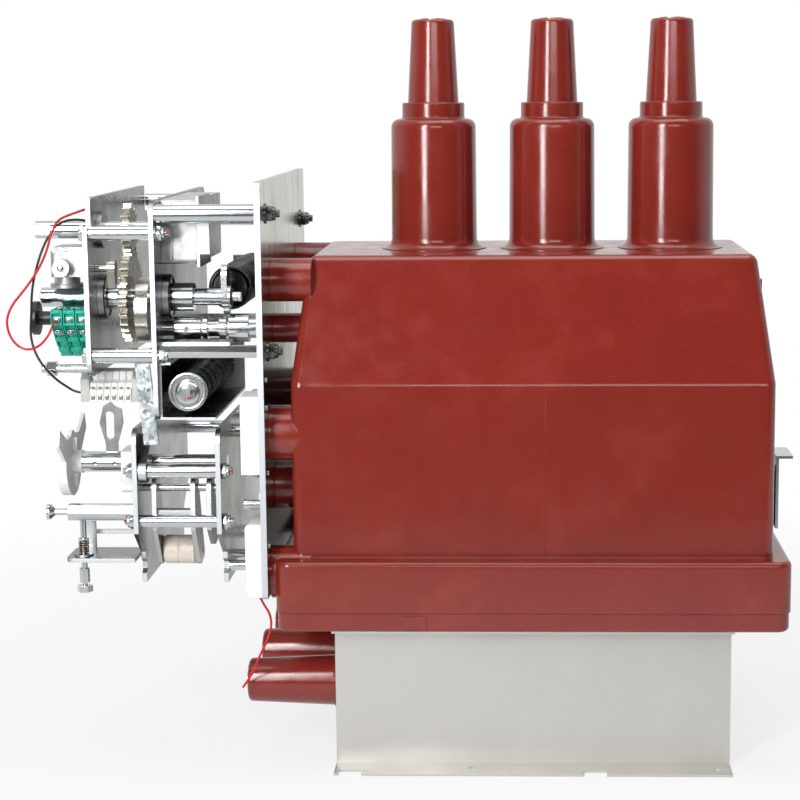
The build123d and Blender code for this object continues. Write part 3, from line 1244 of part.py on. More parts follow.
def make_rod_lever():
    """The lever that hangs on the upper near rod of the lower mechanism."""
    x0 = C_RIGHT + 1
    x1 = x0 + ROD_LEVER_THICK
    tip_y, tip_z = ROD_LEVER_TIP
    eye = rod_x(x0, x1, -LOW_ROD_Y, LOW_ROD_Z, ROD_LEVER_R)
    tip = rod_x(x0, x1, tip_y, tip_z, ROD_LEVER_TIP_R)
    run_y = tip_y + LOW_ROD_Y
    run_z = tip_z - LOW_ROD_Z
    run = math.hypot(run_y, run_z)
    ny, nz = -run_z / run, run_y / run
    arm = sheet_x([
        (-LOW_ROD_Y + ny * ROD_LEVER_R, LOW_ROD_Z + nz * ROD_LEVER_R),
        (-LOW_ROD_Y - ny * ROD_LEVER_R, LOW_ROD_Z - nz * ROD_LEVER_R),
        (tip_y - ny * ROD_LEVER_TIP_R, tip_z - nz * ROD_LEVER_TIP_R),
        (tip_y + ny * ROD_LEVER_TIP_R, tip_z + nz * ROD_LEVER_TIP_R),
    ], x0, ROD_LEVER_THICK)
    return eye + tip + arm - rod_x(x0 - 1, x1 + 1, -LOW_ROD_Y, LOW_ROD_Z, LOW_ROD_R + RUNNING)


def make_foam_box():
    """The pale foam-faced box on the mounting plate."""
    x, y, z = FOAM_BOX
    left = MECHANISM_FACE_X - x
    return block(
        left, MECHANISM_FACE_X, FOAM_NEAR_Y, FOAM_NEAR_Y + y, FOAM_LOW_Z, FOAM_LOW_Z + z
    )


def make_cable_box():
    """The white cable box on the mounting plate, with chamfered edges."""
    x, y, z = CABLE_BOX
    left = MECHANISM_FACE_X - x
    body = block(
        left, MECHANISM_FACE_X, CABLE_BOX_NEAR_Y, CABLE_BOX_NEAR_Y + y, CABLE_BOX_LOW_Z, CABLE_BOX_LOW_Z + z
    )
    return chamfer(body.faces().sort_by(Axis.X)[0].edges(), CABLE_BOX_CHAMFER)


def make_latch_body(housing):
    """The black body of the latch on the right wall, and the small lug on the slope above it."""
    x, y, z = LATCH_BODY
    body = block(
        WALL_HALF_X, WALL_HALF_X + x, LATCH_Y - y / 2, LATCH_Y + y / 2, LATCH_LOW_Z, LATCH_LOW_Z + z
    )
    half = LUG_SIZE[0] / 2
    lug = block(WALL_HALF_X - HIP_IN_X, WALL_HALF_X + LUG_PROUD, -half, half, LUG_Z, LUG_Z + LUG_SIZE[1])
    return Compound(children=[body, (lug - housing).solids()[0]])


def make_latch_plate():
    """The latch plate with its tab turned outwards."""
    x, y, z = LATCH_PLATE
    left = WALL_HALF_X + LATCH_BODY[0]
    top = LATCH_PLATE_LOW_Z + z
    plate = block(left, left + x, LATCH_Y - y / 2, LATCH_Y + y / 2, LATCH_PLATE_LOW_Z, top)
    tab = block(left, LATCH_TIP_X, LATCH_Y - y / 2, LATCH_Y + y / 2, top - x, top)
    return plate + tab


def make_wire(route):
    """A loose wire: straight runs joined by arcs as large as the runs allow."""
    points = [Vector(*p) for p in route]
    runs = [b - a for a, b in zip(points, points[1:])]
    radii = []
    for before, after in zip(runs, runs[1:]):
        half_turn = math.radians(before.get_angle(after)) / 2
        radii.append(WIRE_BEND_SHARE * min(before.length, after.length) / math.tan(half_turn))
    path = FilletPolyline(*points, radius=radii)
    section = Plane(origin=points[0], z_dir=runs[0]) * Circle(WIRE_D / 2)
    wire = sweep(section, path=path)
    plain = path.length * math.pi * WIRE_D ** 2 / 4
    print("wire radii", [round(r, 1) for r in radii])
    print("wire length", round(path.length, 1), "volume share", round(wire.volume / plain, 4))
    return wire


def main():
    """Builds each piece and writes it in its own file."""
    housing = make_housing()
    body = {
        "stand_near": make_stand(-1), "stand_far": make_stand(1),
        "base_cover": make_cover(), "housing": housing,
        "contacts": make_contacts(),
        "mounting_plate": make_mounting_plate(),
        "latch_body": make_latch_body(housing), "latch_plate": make_latch_plate(),
        "cable_bushings": Compound(children=[make_cable_bushing(y) for y in CABLE_Y]),
    }
    for k, x in enumerate(BUSHING_X):
        body["top_bushing_" + str(k + 1)] = make_bushing(x)
    mechanism = {
        "plate_a": make_plate_a(), "plate_b": make_plate_b(),
        "plate_c": make_lower_plate(C_X), "plate_d": make_lower_plate(D_X),
        "tie_rods": make_tie_rods(), "standoffs": make_standoffs(),
        "lower_rods": make_lower_rods(), "lower_standoffs": make_lower_standoffs(),
        "bearing_rings": make_bearing_rings(), "main_shaft": make_main_shaft(),
        "gear_wheel": make_gear_wheel(), "pinion": make_pinion(),
        "charging_shaft": make_charging_shaft(), "cam": make_cam(), "crank": make_crank(),
        "pawl": make_pawl(), "upper_spring": make_upper_spring(), "spring_anchor": make_spring_anchor(),
        "lower_spring": make_lower_spring(), "spring_disc": make_spring_disc(),
        "spring_bracket": make_spring_bracket(), "motor_gearbox": make_motor_gearbox(),
        "motor_bracket": make_motor_bracket(), "gear_block": make_gear_block(),
        "aux_switch": make_aux_switch(), "switch_dial": make_switch_dial(),
        "terminal_strip": make_terminal_strip(), "long_bolt": make_long_bolt(),
        "slant_bar": make_slant_bar(), "shelf": make_shelf(), "drive_shaft": make_drive_shaft(),
        "selector_shaft": make_selector_shaft(), "notched_disc": make_notched_disc(),
        "hasp": make_hasp(), "bearing_block": make_bearing_block(), "hex_bar": make_hex_bar(),
        "pin_bracket": make_pin_bracket(), "interlock_pin": make_interlock_pin(),
        "pin_spring": make_pin_spring(), "levers": make_levers(),
        "roller": make_roller(), "rod_lever": make_rod_lever(),
        "foam_box": make_foam_box(), "cable_box": make_cable_box(),
        "red_wire": make_wire(RED_ROUTE),
        "black_wire": make_wire(BLACK_ROUTE), "lower_wire": make_wire(LOWER_ROUTE),
    }
    os.makedirs("parts", exist_ok=True)
    for pieces, shift in ((body, 0), (mechanism, MECHANISM_SHIFT)):
        for name, piece in pieces.items():
            export_step(Pos(shift - MIDDLE_X, 0, 0) * piece, "parts/" + name + ".step")


main()
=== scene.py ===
import math

import bmesh
import bpy
from mathutils import Matrix, Vector


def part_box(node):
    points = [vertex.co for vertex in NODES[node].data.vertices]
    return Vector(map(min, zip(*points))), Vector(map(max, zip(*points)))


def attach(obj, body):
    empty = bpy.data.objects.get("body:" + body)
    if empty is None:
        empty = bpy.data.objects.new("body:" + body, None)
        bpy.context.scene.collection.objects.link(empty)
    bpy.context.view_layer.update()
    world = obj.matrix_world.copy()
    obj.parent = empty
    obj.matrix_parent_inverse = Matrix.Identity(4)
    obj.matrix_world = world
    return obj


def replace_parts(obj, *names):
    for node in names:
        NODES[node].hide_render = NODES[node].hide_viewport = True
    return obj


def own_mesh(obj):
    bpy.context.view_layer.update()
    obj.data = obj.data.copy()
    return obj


bl_info = {
    "name": "Vacuum Circuit Breaker Dressing",
    "version": (1, 0, 0),
    "blender": (4, 5, 0),
    "location": "3D Viewport > Sidebar > Breaker",
    "description": "Dresses the vacuum circuit breaker with finishes, springs, wires and nuts",
    "category": "Object",
}

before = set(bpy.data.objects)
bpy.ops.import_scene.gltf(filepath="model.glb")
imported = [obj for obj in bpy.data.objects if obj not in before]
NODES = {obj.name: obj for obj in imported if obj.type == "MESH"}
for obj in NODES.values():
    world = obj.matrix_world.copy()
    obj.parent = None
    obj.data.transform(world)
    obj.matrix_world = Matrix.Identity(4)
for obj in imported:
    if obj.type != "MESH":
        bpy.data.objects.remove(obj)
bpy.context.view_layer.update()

# The part's source measures X from the middle of the cast base, in millimetres.
# Its mounting plate has its left face at -270 there.
PLATE_FACE_X = -270.0
MM = 0.001
PER_METRE = 1000.0
SHIFT_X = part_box("mounting_plate")[0].x * PER_METRE - PLATE_FACE_X

# Faces of the sheets that the nuts sit on, in the source's X.
A_LEFT_X = -445.0
B_RIGHT_X = -374.0
C_LEFT_X = -405.0
D_RIGHT_X = -315.0
PLATE_RIGHT_X = -264.0
MOTOR_FOOT_X = -371.0

# Rows of rods: the row's Y, then each rod's Z.
TIE_ROWS = ((-150, (548.6, 425.9)), (150, (566.5, 425.9)))
LOWER_ROWS = ((-138, (306, 254)), (138, (306, 254)))

# Y and Z of what stands on a face.
STANDOFF_ENDS = ((-150, 567.4), (-150, 430), (150, 544.5))
PLATE_SCREWS = ((-172, 404), (-172, 376), (-170, 310), (-172, 236))
# Y, Z and turn of the bolts of the motor's bracket.
MOTOR_BOLTS = ((110.6, 503.9, 0), (100.2, 567.2, 0.4))

# X, Y and Z of single places.
KNOB_FACE = (-472, -142, 513)
DISC_FACE = (-346, -150, 389)
CRANK_WASHER_FACE = (-307, -100, 480)
BEARING_FACES = ((-434, -100, 480), (-368, -100, 480))
COVER_BOLTS = ((-59, -150, 151), (65, -150, 151))
PAINT_MARKS = (
    (-361, -150.4, 549.8), (-361, -150.4, 427), (-361, 149.6, 567.7),
    (-305.4, -138.4, 307), (-414.8, -138.4, 255), (-343, -160, 385),
)

# Profiles of turned forms: distance along the axis and radius, in millimetres.
NUT_WASHER = ((0, 10), (1.4, 10), (1.4, 5))
PLATE_SCREW = ((0, 2.6), (1, 2.6), (1.7, 1.56), (1.7, 0.78))
KNOB_SCREW = ((0, 3.4), (1.4, 3.4), (2.2, 2.2), (2.2, 1))
COVER_BOLT = ((0, 7), (1.5, 7), (3.6, 5.2), (4.4, 3), (4.4, 1))
DISC_RIM = ((-0.5, 15.6), (0.9, 15.8), (0.9, 19.2), (-0.5, 19.3))
DISC_FLANGE = ((-0.5, 12.2), (1.6, 12.2), (2.6, 9.4), (2.6, 6))
DISC_NUT_COLLAR = ((0, 6.8), (1.6, 6.6), (2.2, 5.8))
BEARING_CIRCLIP = ((-0.4, 19.4), (0.8, 19.4), (0.8, 22.4), (-0.4, 22.4))
CRANK_CIRCLIP = ((-0.4, 5.2), (1.2, 5.2), (1.2, 8.6), (-0.4, 8.6))
PAINT_DAB = ((-1, 0.4), (3.9, 1.5), (4.4, 0.8))
SWITCH_SCREW = ((0.8, 2.8), (2.3, 2.8), (2.8, 2.2), (2.8, 0.5))
CLAMP_SCREW = ((0, 1.6), (1, 1.6), (1.3, 1.2), (1.3, 0.4))

# The end of a tension spring: distance along the axis in millimetres, share of the core's radius.
SPRING_END = ((1, 0.30), (0.4, 0.34), (0.4, 0.60), (1.6, 0.64), (1.6, 0.80), (0.6, 0.84), (0.6, 1))

# The auxiliary switch seen along X: Y and Z of a layer, and of the thin walls beside its screws.
SWITCH_LAYER = (
    (-147, 472), (-149, 470.5), (-149, 468), (-146, 467), (-146, 459),
    (-149.7, 458.2), (-149.7, 456.4), (-145.4, 455.6), (-131.5, 444), (-134, 441),
    (-130.5, 437.6), (-126.5, 439), (-119.5, 431.9), (-121.4, 429.6), (-117.5, 425.8),
    (-114, 427.4), (-110, 420.5), (-95, 420.5), (-95, 462), (-112, 462), (-112, 472),
)
SWITCH_WALL = (
    (-149.6, 471), (-149.6, 457), (-136, 443.5), (-124, 432), (-118, 432),
    (-118, 455), (-140, 471),
)
# Thicknesses and half sizes of the switch's walls, pads and the dark sheets of painted shade in the
# screws' cross recesses, in millimetres.
SWITCH_WALL_THICK = 1.1
SWITCH_GAP = 1
SWITCH_LAYERS = 3
# Y and Z of a layer's screws, and the way that each one faces.
SWITCH_SCREWS = (((-146, 461.2), (0, -1, 0)), ((-139.8, 449), (0, -36.5, -38)))
SCREW_PAD_HALF = (3.8, 3.2)
SCREW_PAD_THICK = 1
SCREW_FACE = 2.81
# Painted shade: each screw's cross recess is drawn as two thin dark sheets on its head, with these half
# sizes, thickness and turns.
SLOT_SHADE_HALF = (2, 0.35)
SLOT_SHADE_THICK = 0.12
SLOT_SHADE_TURNS = (0.5, 0.5 + math.pi / 2)
CLIP_SHARES = (0.28, 0.72)
CLIP_HALF = 1.6
CLIP_LOW = (-144, 471.4)
CLIP_HIGH = (-130, 472)

# The terminal strip: steps of a module's near side, as Y and Z from its low near edge.
TERMINALS = 6
END_STOP = 8.8
END_MARGIN = 9
END_IN = 1
END_SLOPE = (10, 7)
MODULE_GAP = 0.4
MODULE_STEPS = ((0, 0), (0, 12.5), (4, 15), (4, 19), (12, 21.5))
CLAMP_LOW = (-2.1, -0.2, 2.2)
CLAMP_HIGH = (2.1, 1, 8.8)
CLAMP_SCREW_PLACE = (0, 1.5, 13.8)
CLAMP_SCREW_AXIS = (0, -0.5, 0.85)

# A locking nut: shares of its height and width, and the thread that stands out of it.
NUT_BODY = 0.68
NUT_COLLAR = 0.46
NUT_COLLAR_TOP = 0.84
WASHER_THICK = 1.2
THREAD_PITCH = 1
THREAD_DEPTH = 0.35

# The studio, in metres: distances on the floor, and each lamp's place, aim, width, height and power.
FLOOR_FADE = (0.55, 1.30)
DARK_FRONT = (-1.35, -0.75)
ROOM_FILL = 0.46
ROOM_GLOSS = 0.88
LAMPS = (
    ("key_left", (-0.80, -2.0, 1.25), (0.15, 0, 1.0), 0.42, 1.6, 46.0),
    ("front_high", (0.5, -2.9, 1.35), (0.0, 0, 0.35), 1.6, 0.5, 16.0),
    ("top", (0.1, -0.2, 2.4), (0.0, 0, 0.3), 2.0, 1.2, 22.0),
)
CAMERA_LENS_MM = 89.1
CAMERA_SENSOR_MM = 36.0
CAMERA_SHIFT = -0.0875
CAMERA_REACH = 50.0
CAMERA_PLACE = (-4.6, -2107.5, 680.3)
CAMERA_YAW_DOWN_ROLL = (-1.691, 8.702, -0.327)

# The springs: points in a turn, sides of the wire, the core's gap, and the pin's turns.
COIL_STEPS = 26
COIL_SIDES = 10
CORE_GAP_MM = 0.4
PIN_TURNS = 6.5

# Routes of the wires, in metres.
RED_ROUTE = (
    (-0.3257, -0.1380, 0.5715), (-0.3355, -0.1500, 0.5680), (-0.3480, -0.1610, 0.5630),
    (-0.3540, -0.1650, 0.5495), (-0.3590, -0.1650, 0.5315), (-0.3690, -0.1640, 0.5120),
    (-0.3835, -0.1630, 0.4930), (-0.3980, -0.1610, 0.4770), (-0.4040, -0.1600, 0.4600),
    (-0.3985, -0.1600, 0.4420), (-0.3860, -0.1600, 0.4325), (-0.3715, -0.1620, 0.4360),
    (-0.3605, -0.1640, 0.4475), (-0.3555, -0.1610, 0.4605), (-0.3557, -0.1503, 0.4610),
)
BLACK_ROUTE = (
    (-0.3257, -0.1380, 0.5605), (-0.3365, -0.1450, 0.5630), (-0.3510, -0.1510, 0.5580),
    (-0.3620, -0.1550, 0.5420), (-0.3705, -0.1570, 0.5200), (-0.3770, -0.1580, 0.4940),
    (-0.3785, -0.1580, 0.4680), (-0.3805, -0.1580, 0.4435), (-0.3720, -0.1600, 0.4215),
    (-0.3565, -0.1590, 0.4035), (-0.3465, -0.1480, 0.3935), (-0.3435, -0.1340, 0.3875),
    (-0.3410, -0.1210, 0.3845),
)
LOWER_ROUTE = (
    (-0.1570, -0.1600, 0.1835), (-0.1530, -0.1615, 0.1745), (-0.1455, -0.1630, 0.1640),
    (-0.1440, -0.1625, 0.1500), (-0.1495, -0.1600, 0.1340), (-0.1585, -0.1560, 0.1170),
    (-0.1655, -0.1530, 0.0980), (-0.1765, -0.1520, 0.0830),
)

# The housing's parting line.
SEAM_X = 13.0
SEAM_INSET = 0.022
SEAM_PROUD = 0.00015
SEAM_DEEP = 0.001
SEAM_LOW_Z = 0.2235
SEAM_TOP_Z = 0.388

# Roughness of the sheets' cut edges that face along Y, which carry a painted highlight, and of those of
# the chromated plate.
EDGE_ROUGH = 0.46
FILM_EDGE_ROUGH = 0.44


def at(x, y, z):
    """A point of the part's source, in millimetres, as a point of the row frame, in metres."""
    return Vector(((x + SHIFT_X) * MM, y * MM, z * MM))


def linear(hex_value):
    """A colour given as sRGB hex digits, as linear red, green and blue with full alpha."""
    channels = []
    for k in (0, 2, 4):
        c = int(hex_value[k:k + 2], 16) / 255
        channels.append(c / 12.92 if c <= 0.04045 else ((c + 0.055) / 1.055) ** 2.4)
    return (*channels, 1.0)


def colour(label, hex_value, text):
    """A colour that the user can change."""
    return bpy.props.FloatVectorProperty(
        name=label, description=text, default=linear(hex_value), size=4,
        subtype="COLOR", min=0.0, max=1.0,
    )


def size(label, metres, text):
    """A length that the user can change."""
    return bpy.props.FloatProperty(
        name=label, description=text, default=metres, min=0.0, unit="LENGTH", subtype="DISTANCE",
    )


class BreakerColours(bpy.types.PropertyGroup):
    """Colours of the finishes."""

    epoxy: colour("Epoxy", "7E261D", "Cast resin of the housing and bushings")
    epoxy_pale: colour("Pale epoxy", "862E25", "Lighter clouds in the cast resin")
    zinc: colour("Zinc", "C6CACC", "Bright zinc plating")
    stainless: colour("Stainless", "CFCDC9", "Satin stainless sheet of the stand")
    plate: colour("Plates", "7E7F7B", "Zinc-plated sheet of the mechanism")
    # Painted highlight: the sheets' cut edges that face along Y take this pale colour, their own bright
    # cut and the key lamp's highlight painted in.
    edge: colour("Cut edges and painted highlight", "D3D8DB", "Bright edges of the sheets")
    gear: colour("Gear", "B3B0A7", "Oiled steel of the gears and cam")
    green: colour("Green", "12A88F", "Moulded plastic of the auxiliary switch")
    white: colour("White", "ECECE9", "Moulded nylon of the terminals")
    cream: colour("Cream", "D6CCBF", "Nylon of the grooved roller")
    black: colour("Black", "17171A", "Moulded plastic and painted springs")
    red_wire: colour("Red wire", "C2141D", "Insulation of the red wires")


class BreakerSizes(bpy.types.PropertyGroup):
    """Sizes of the pieces that the dressing adds."""

    upper_wire: size("Upper spring wire", 0.0050, "Wire of the upper tension spring")
    lower_wire: size("Lower spring wire", 0.0046, "Wire of the lower tension spring")
    pin_wire: size("Pin spring wire", 0.0014, "Wire of the interlock pin's spring")
    coil_gap: size("Coil gap", 0.0034, "Space between the turns of a tension spring")
    lead: size("Lead", 0.0024, "Diameter of the loose wires")
    seam: size("Seam", 0.0006, "Width of the mould's parting line")
    floor: size("Floor", 6.0, "Side of the floor")


class BreakerFasteners(bpy.types.PropertyGroup):
    """Sizes of the nuts and bolts."""

    nut_m8: size("M8 nut", 0.0145, "Width across flats of the M8 nuts")
    nut_m6: size("M6 nut", 0.010, "Width across flats of the M6 nuts")
    thread_out: size("Bolt end", 0.004, "Length of thread that stands out of a nut")


def add_node(tree, kind, settings=None, values=None):
    """Adds a node, sets its properties, and sets or links its inputs."""
    made = tree.nodes.new(kind)
    for key, value in (settings or {}).items():
        setattr(made, key, value)
    for key, value in (values or {}).items():
        socket = made.inputs[key]
        if isinstance(value, bpy.types.NodeSocket):
            tree.links.new(value, socket)
        else:
            socket.default_value = value
    return made


def empty_tree(owner):
    """The cleared nodes of a material or of the world."""
    owner.use_nodes = True
    owner.node_tree.nodes.clear()
    return owner.node_tree


def new_material(name):
    """An empty material with its shader, output and object coordinates."""
    material = bpy.data.materials.new(name)
    tree = empty_tree(material)
    shader = add_node(tree, "ShaderNodeBsdfPrincipled")
    add_node(tree, "ShaderNodeOutputMaterial", values={"Surface": shader.outputs["BSDF"]})
    place = add_node(tree, "ShaderNodeTexCoord").outputs["Object"]
    return material, tree, shader, place


def noise(tree, place, grain_mm, detail=3.0, stretch=(1, 1, 1), rough=0.55):
    """Noise whose grains have a size in millimetres, stretched along an axis where asked."""
    scale = [1 / (grain_mm * MM * s) for s in stretch]
    moved = add_node(
        tree, "ShaderNodeMapping", values={"Vector": place, "Scale": scale}
    ).outputs["Vector"]
    return add_node(tree, "ShaderNodeTexNoise", values={
        "Vector": moved, "Scale": 1.0, "Detail": detail, "Roughness": rough,
    }).outputs["Fac"]


def steps(tree, value, stops):
    """A colour ramp over a value: stops are (position, linear colour)."""
    ramp = add_node(tree, "ShaderNodeValToRGB", values={"Fac": value})
    while len(ramp.color_ramp.elements) < len(stops):
        ramp.color_ramp.elements.new(0.5)
    for element, (position, tone) in zip(ramp.color_ramp.elements, stops):
        element.position = position
        element.color = tone
    return ramp.outputs["Color"]


def spread(tree, value, low, high, start=0.35, end=0.65):
    """A value mapped from the middle band of a noise to a range."""
    return add_node(tree, "ShaderNodeMapRange", values={
        "Value": value, "From Min": start, "From Max": end, "To Min": low, "To Max": high,
    }).outputs["Result"]


def reckon(tree, operation, *numbers):
    """One step of arithmetic on sockets or numbers."""
    values = dict(enumerate(numbers))
    return add_node(tree, "ShaderNodeMath", {"operation": operation}, values).outputs["Value"]


def shaded(tone, factor):
    """A linear colour made darker or lighter."""
    return (*[min(1.0, c * factor) for c in tone[:3]], 1.0)


def relief(tree, height, depth_mm, edge_mm=0.0, under=None):
    """A bump of a given depth, over edges softened by a small radius where asked."""
    values = {"Height": height, "Distance": depth_mm * MM, "Strength": 1.0}
    if under is not None:
        values["Normal"] = under
    elif edge_mm:
        values["Normal"] = add_node(
            tree, "ShaderNodeBevel", {"samples": 4}, {"Radius": edge_mm * MM}
        ).outputs["Normal"]
    return add_node(tree, "ShaderNodeBump", values=values).outputs["Normal"]


def dress(tree, shader, base, gloss, normal, metallic=0.0):
    """Gives a shader its colour, roughness and relief."""
    for key, socket in (("Base Color", base), ("Roughness", gloss), ("Normal", normal)):
        tree.links.new(socket, shader.inputs[key])
    shader.inputs["Metallic"].default_value = metallic


def epoxy_material(colours):
    """Cast epoxy resin from a polished mould: deep gloss, faint clouds, small pits and a wavy skin."""
    material, tree, shader, place = new_material("cast_epoxy_gloss")
    clouds = noise(tree, place, grain_mm=60, detail=3)
    specks = noise(tree, place, grain_mm=1.6, detail=1)
    base = steps(tree, clouds, [
        (0.30, shaded(colours.epoxy, 0.93)),
        (0.55, tuple(colours.epoxy)),
        (0.75, tuple(colours.epoxy_pale)),
    ])
    dust = spread(tree, specks, 0.0, 0.10, start=0.66, end=0.78)
    haze = noise(tree, place, grain_mm=22, detail=4)
    wave = relief(tree, noise(tree, place, grain_mm=38, detail=1), depth_mm=0.12, edge_mm=2.2)
    pits = noise(tree, place, grain_mm=2.2, detail=2)
    dress(tree, shader, blend(tree, dust, base, linear("C9A79C")), spread(tree, haze, 0.13, 0.21),
          relief(tree, pits, depth_mm=0.004, under=wave))
    shader.inputs["IOR"].default_value = 1.52
    shader.inputs["Specular IOR Level"].default_value = 0.55
    return material


def facing(tree, axis):
    """How far a face looks along an object axis, either way: 0 across it, 1 along it."""
    normal = add_node(tree, "ShaderNodeTexCoord").outputs["Normal"]
    parts = add_node(tree, "ShaderNodeSeparateXYZ", values={"Vector": normal})
    along = reckon(tree, "ABSOLUTE", parts.outputs[axis])
    return spread(tree, along, 0.0, 1.0, start=0.70, end=0.90)


def blend(tree, share, first, second):
    """A colour between two, each a socket or a linear colour."""
    return add_node(tree, "ShaderNodeMix", {"data_type": "RGBA"}, {
        0: share, 6: first, 7: second}).outputs[2]


def between(tree, share, first, second):
    """A number between two, each a socket or a number."""
    return add_node(tree, "ShaderNodeMix", {"data_type": "FLOAT"}, {
        0: share, 2: first, 3: second}).outputs[0]


def metal_material(name, tone, rough, patch_mm=26, stretch=(1, 1, 1), grain_mm=0.5, depth_mm=0.001,
                   edge_mm=0.4, dark=0.93, tint=None, contrast=0.03, cut_edge_highlight=None):
    """A metal: faint clouds in its tone, a fine grain, soft edges, and where asked a pale tone on the
    cut edges that face along Y, their own bright cut and a painted highlight.
    """
    material, tree, shader, place = new_material(name)
    clouds = noise(tree, place, patch_mm, detail=4)
    stops = [(0.32, shaded(tone, dark)), (0.52, tuple(tone)), (0.70, shaded(tone, 1.04))]
    if tint:
        stops.append((0.84, tint))
    base = steps(tree, clouds, stops)
    grain = noise(tree, place, grain_mm, detail=2, stretch=stretch)
    gloss = spread(tree, clouds, rough + contrast, rough - contrast)
    if cut_edge_highlight:
        # Painted highlight: the cut edges that face along Y take a pale tone, their own bright cut and
        # the key lamp's highlight painted in.
        share = facing(tree, "Y")
        base = blend(tree, share, base, tuple(cut_edge_highlight))
        gloss = between(tree, share, gloss, EDGE_ROUGH)
    dress(tree, shader, base, gloss, relief(tree, grain, depth_mm, edge_mm), metallic=1.0)
    return material


def passivated_material(edge):
    """Chromated zinc plate: a straw and grey-green mirror with upright rust and purple streaks, and on
    its cut edges that face along Y a pale tone, their own bright cut and a painted highlight.
    """
    material, tree, shader, place = new_material("chromated_zinc_plate")
    streaks = noise(tree, place, grain_mm=9, detail=4, stretch=(1, 1, 14), rough=0.6)
    clouds = noise(tree, place, grain_mm=60, detail=3, stretch=(1, 1, 2))
    both = between(tree, 0.55, streaks, clouds)
    film = steps(tree, both, [
        (0.36, linear("8D7C82")), (0.43, linear("A8A79A")), (0.49, linear("B9BDA9")),
        (0.54, linear("AFC0B4")), (0.60, linear("B8AF96")), (0.68, linear("9A8484")),
    ])
    # Painted highlight: the cut edges that face along Y take the pale edge colour, their own bright cut
    # and the key lamp's highlight painted in.
    share = facing(tree, "Y")
    gloss = between(tree, share, spread(tree, streaks, 0.17, 0.27), FILM_EDGE_ROUGH)
    grain = noise(tree, place, grain_mm=1.6, detail=2, stretch=(1, 1, 12))
    dress(tree, shader, blend(tree, share, film, tuple(edge)), gloss,
          relief(tree, grain, depth_mm=0.002, edge_mm=0.5), metallic=1.0)
    return material


def spangle_material():
    """Hot-dip galvanised steel: crystals of zinc a few millimetres wide, each at its own tone."""
    material, tree, shader, place = new_material("galvanised_spangle")
    crystal_mm = 3.5
    cells = add_node(
        tree, "ShaderNodeTexVoronoi", values={"Vector": place, "Scale": 1 / (crystal_mm * MM)})
    parts = add_node(tree, "ShaderNodeSeparateColor", values={"Color": cells.outputs["Color"]})
    tone = parts.outputs[0]
    base = steps(tree, tone, [
        (0.0, linear("8E9699")), (0.5, linear("B3BABD")), (1.0, linear("D5DADC")),
    ])
    dress(tree, shader, base, spread(tree, tone, 0.28, 0.50, start=0.0, end=1.0),
          relief(tree, tone, depth_mm=0.02, edge_mm=0.4), metallic=1.0)
    return material


def cast_metal_material():
    """Die-cast aluminium, shot blasted: a fine sparkling grain on a pale grey body."""
    material, tree, shader, place = new_material("blasted_aluminium")
    grain = noise(tree, place, grain_mm=1.1, detail=2)
    clouds = noise(tree, place, grain_mm=12, detail=5)
    base = steps(tree, clouds, [(0.35, linear("A9ABAC")), (0.60, linear("C8CACA"))])
    dress(tree, shader, base, spread(tree, grain, 0.34, 0.56),
          relief(tree, grain, depth_mm=0.06, edge_mm=0.8), metallic=1.0)
    return material


def plastic_material(name, tone, rough, pale=1.08, patch_mm=12, grain_mm=0.6, depth_mm=0.01,
                     edge_mm=0.4):
    """A moulded plastic with a fine mould grain, soft edges and slight clouds in its colour."""
    material, tree, shader, place = new_material(name)
    clouds = noise(tree, place, patch_mm, detail=4)
    base = steps(tree, clouds, [
        (0.35, shaded(tone, 0.90)), (0.55, tuple(tone)), (0.75, shaded(tone, pale)),
    ])
    grain = noise(tree, place, grain_mm, detail=2)
    dress(tree, shader, base, spread(tree, clouds, rough - 0.06, rough + 0.08),
          relief(tree, grain, depth_mm, edge_mm))
    shader.inputs["IOR"].default_value = 1.5
    return material


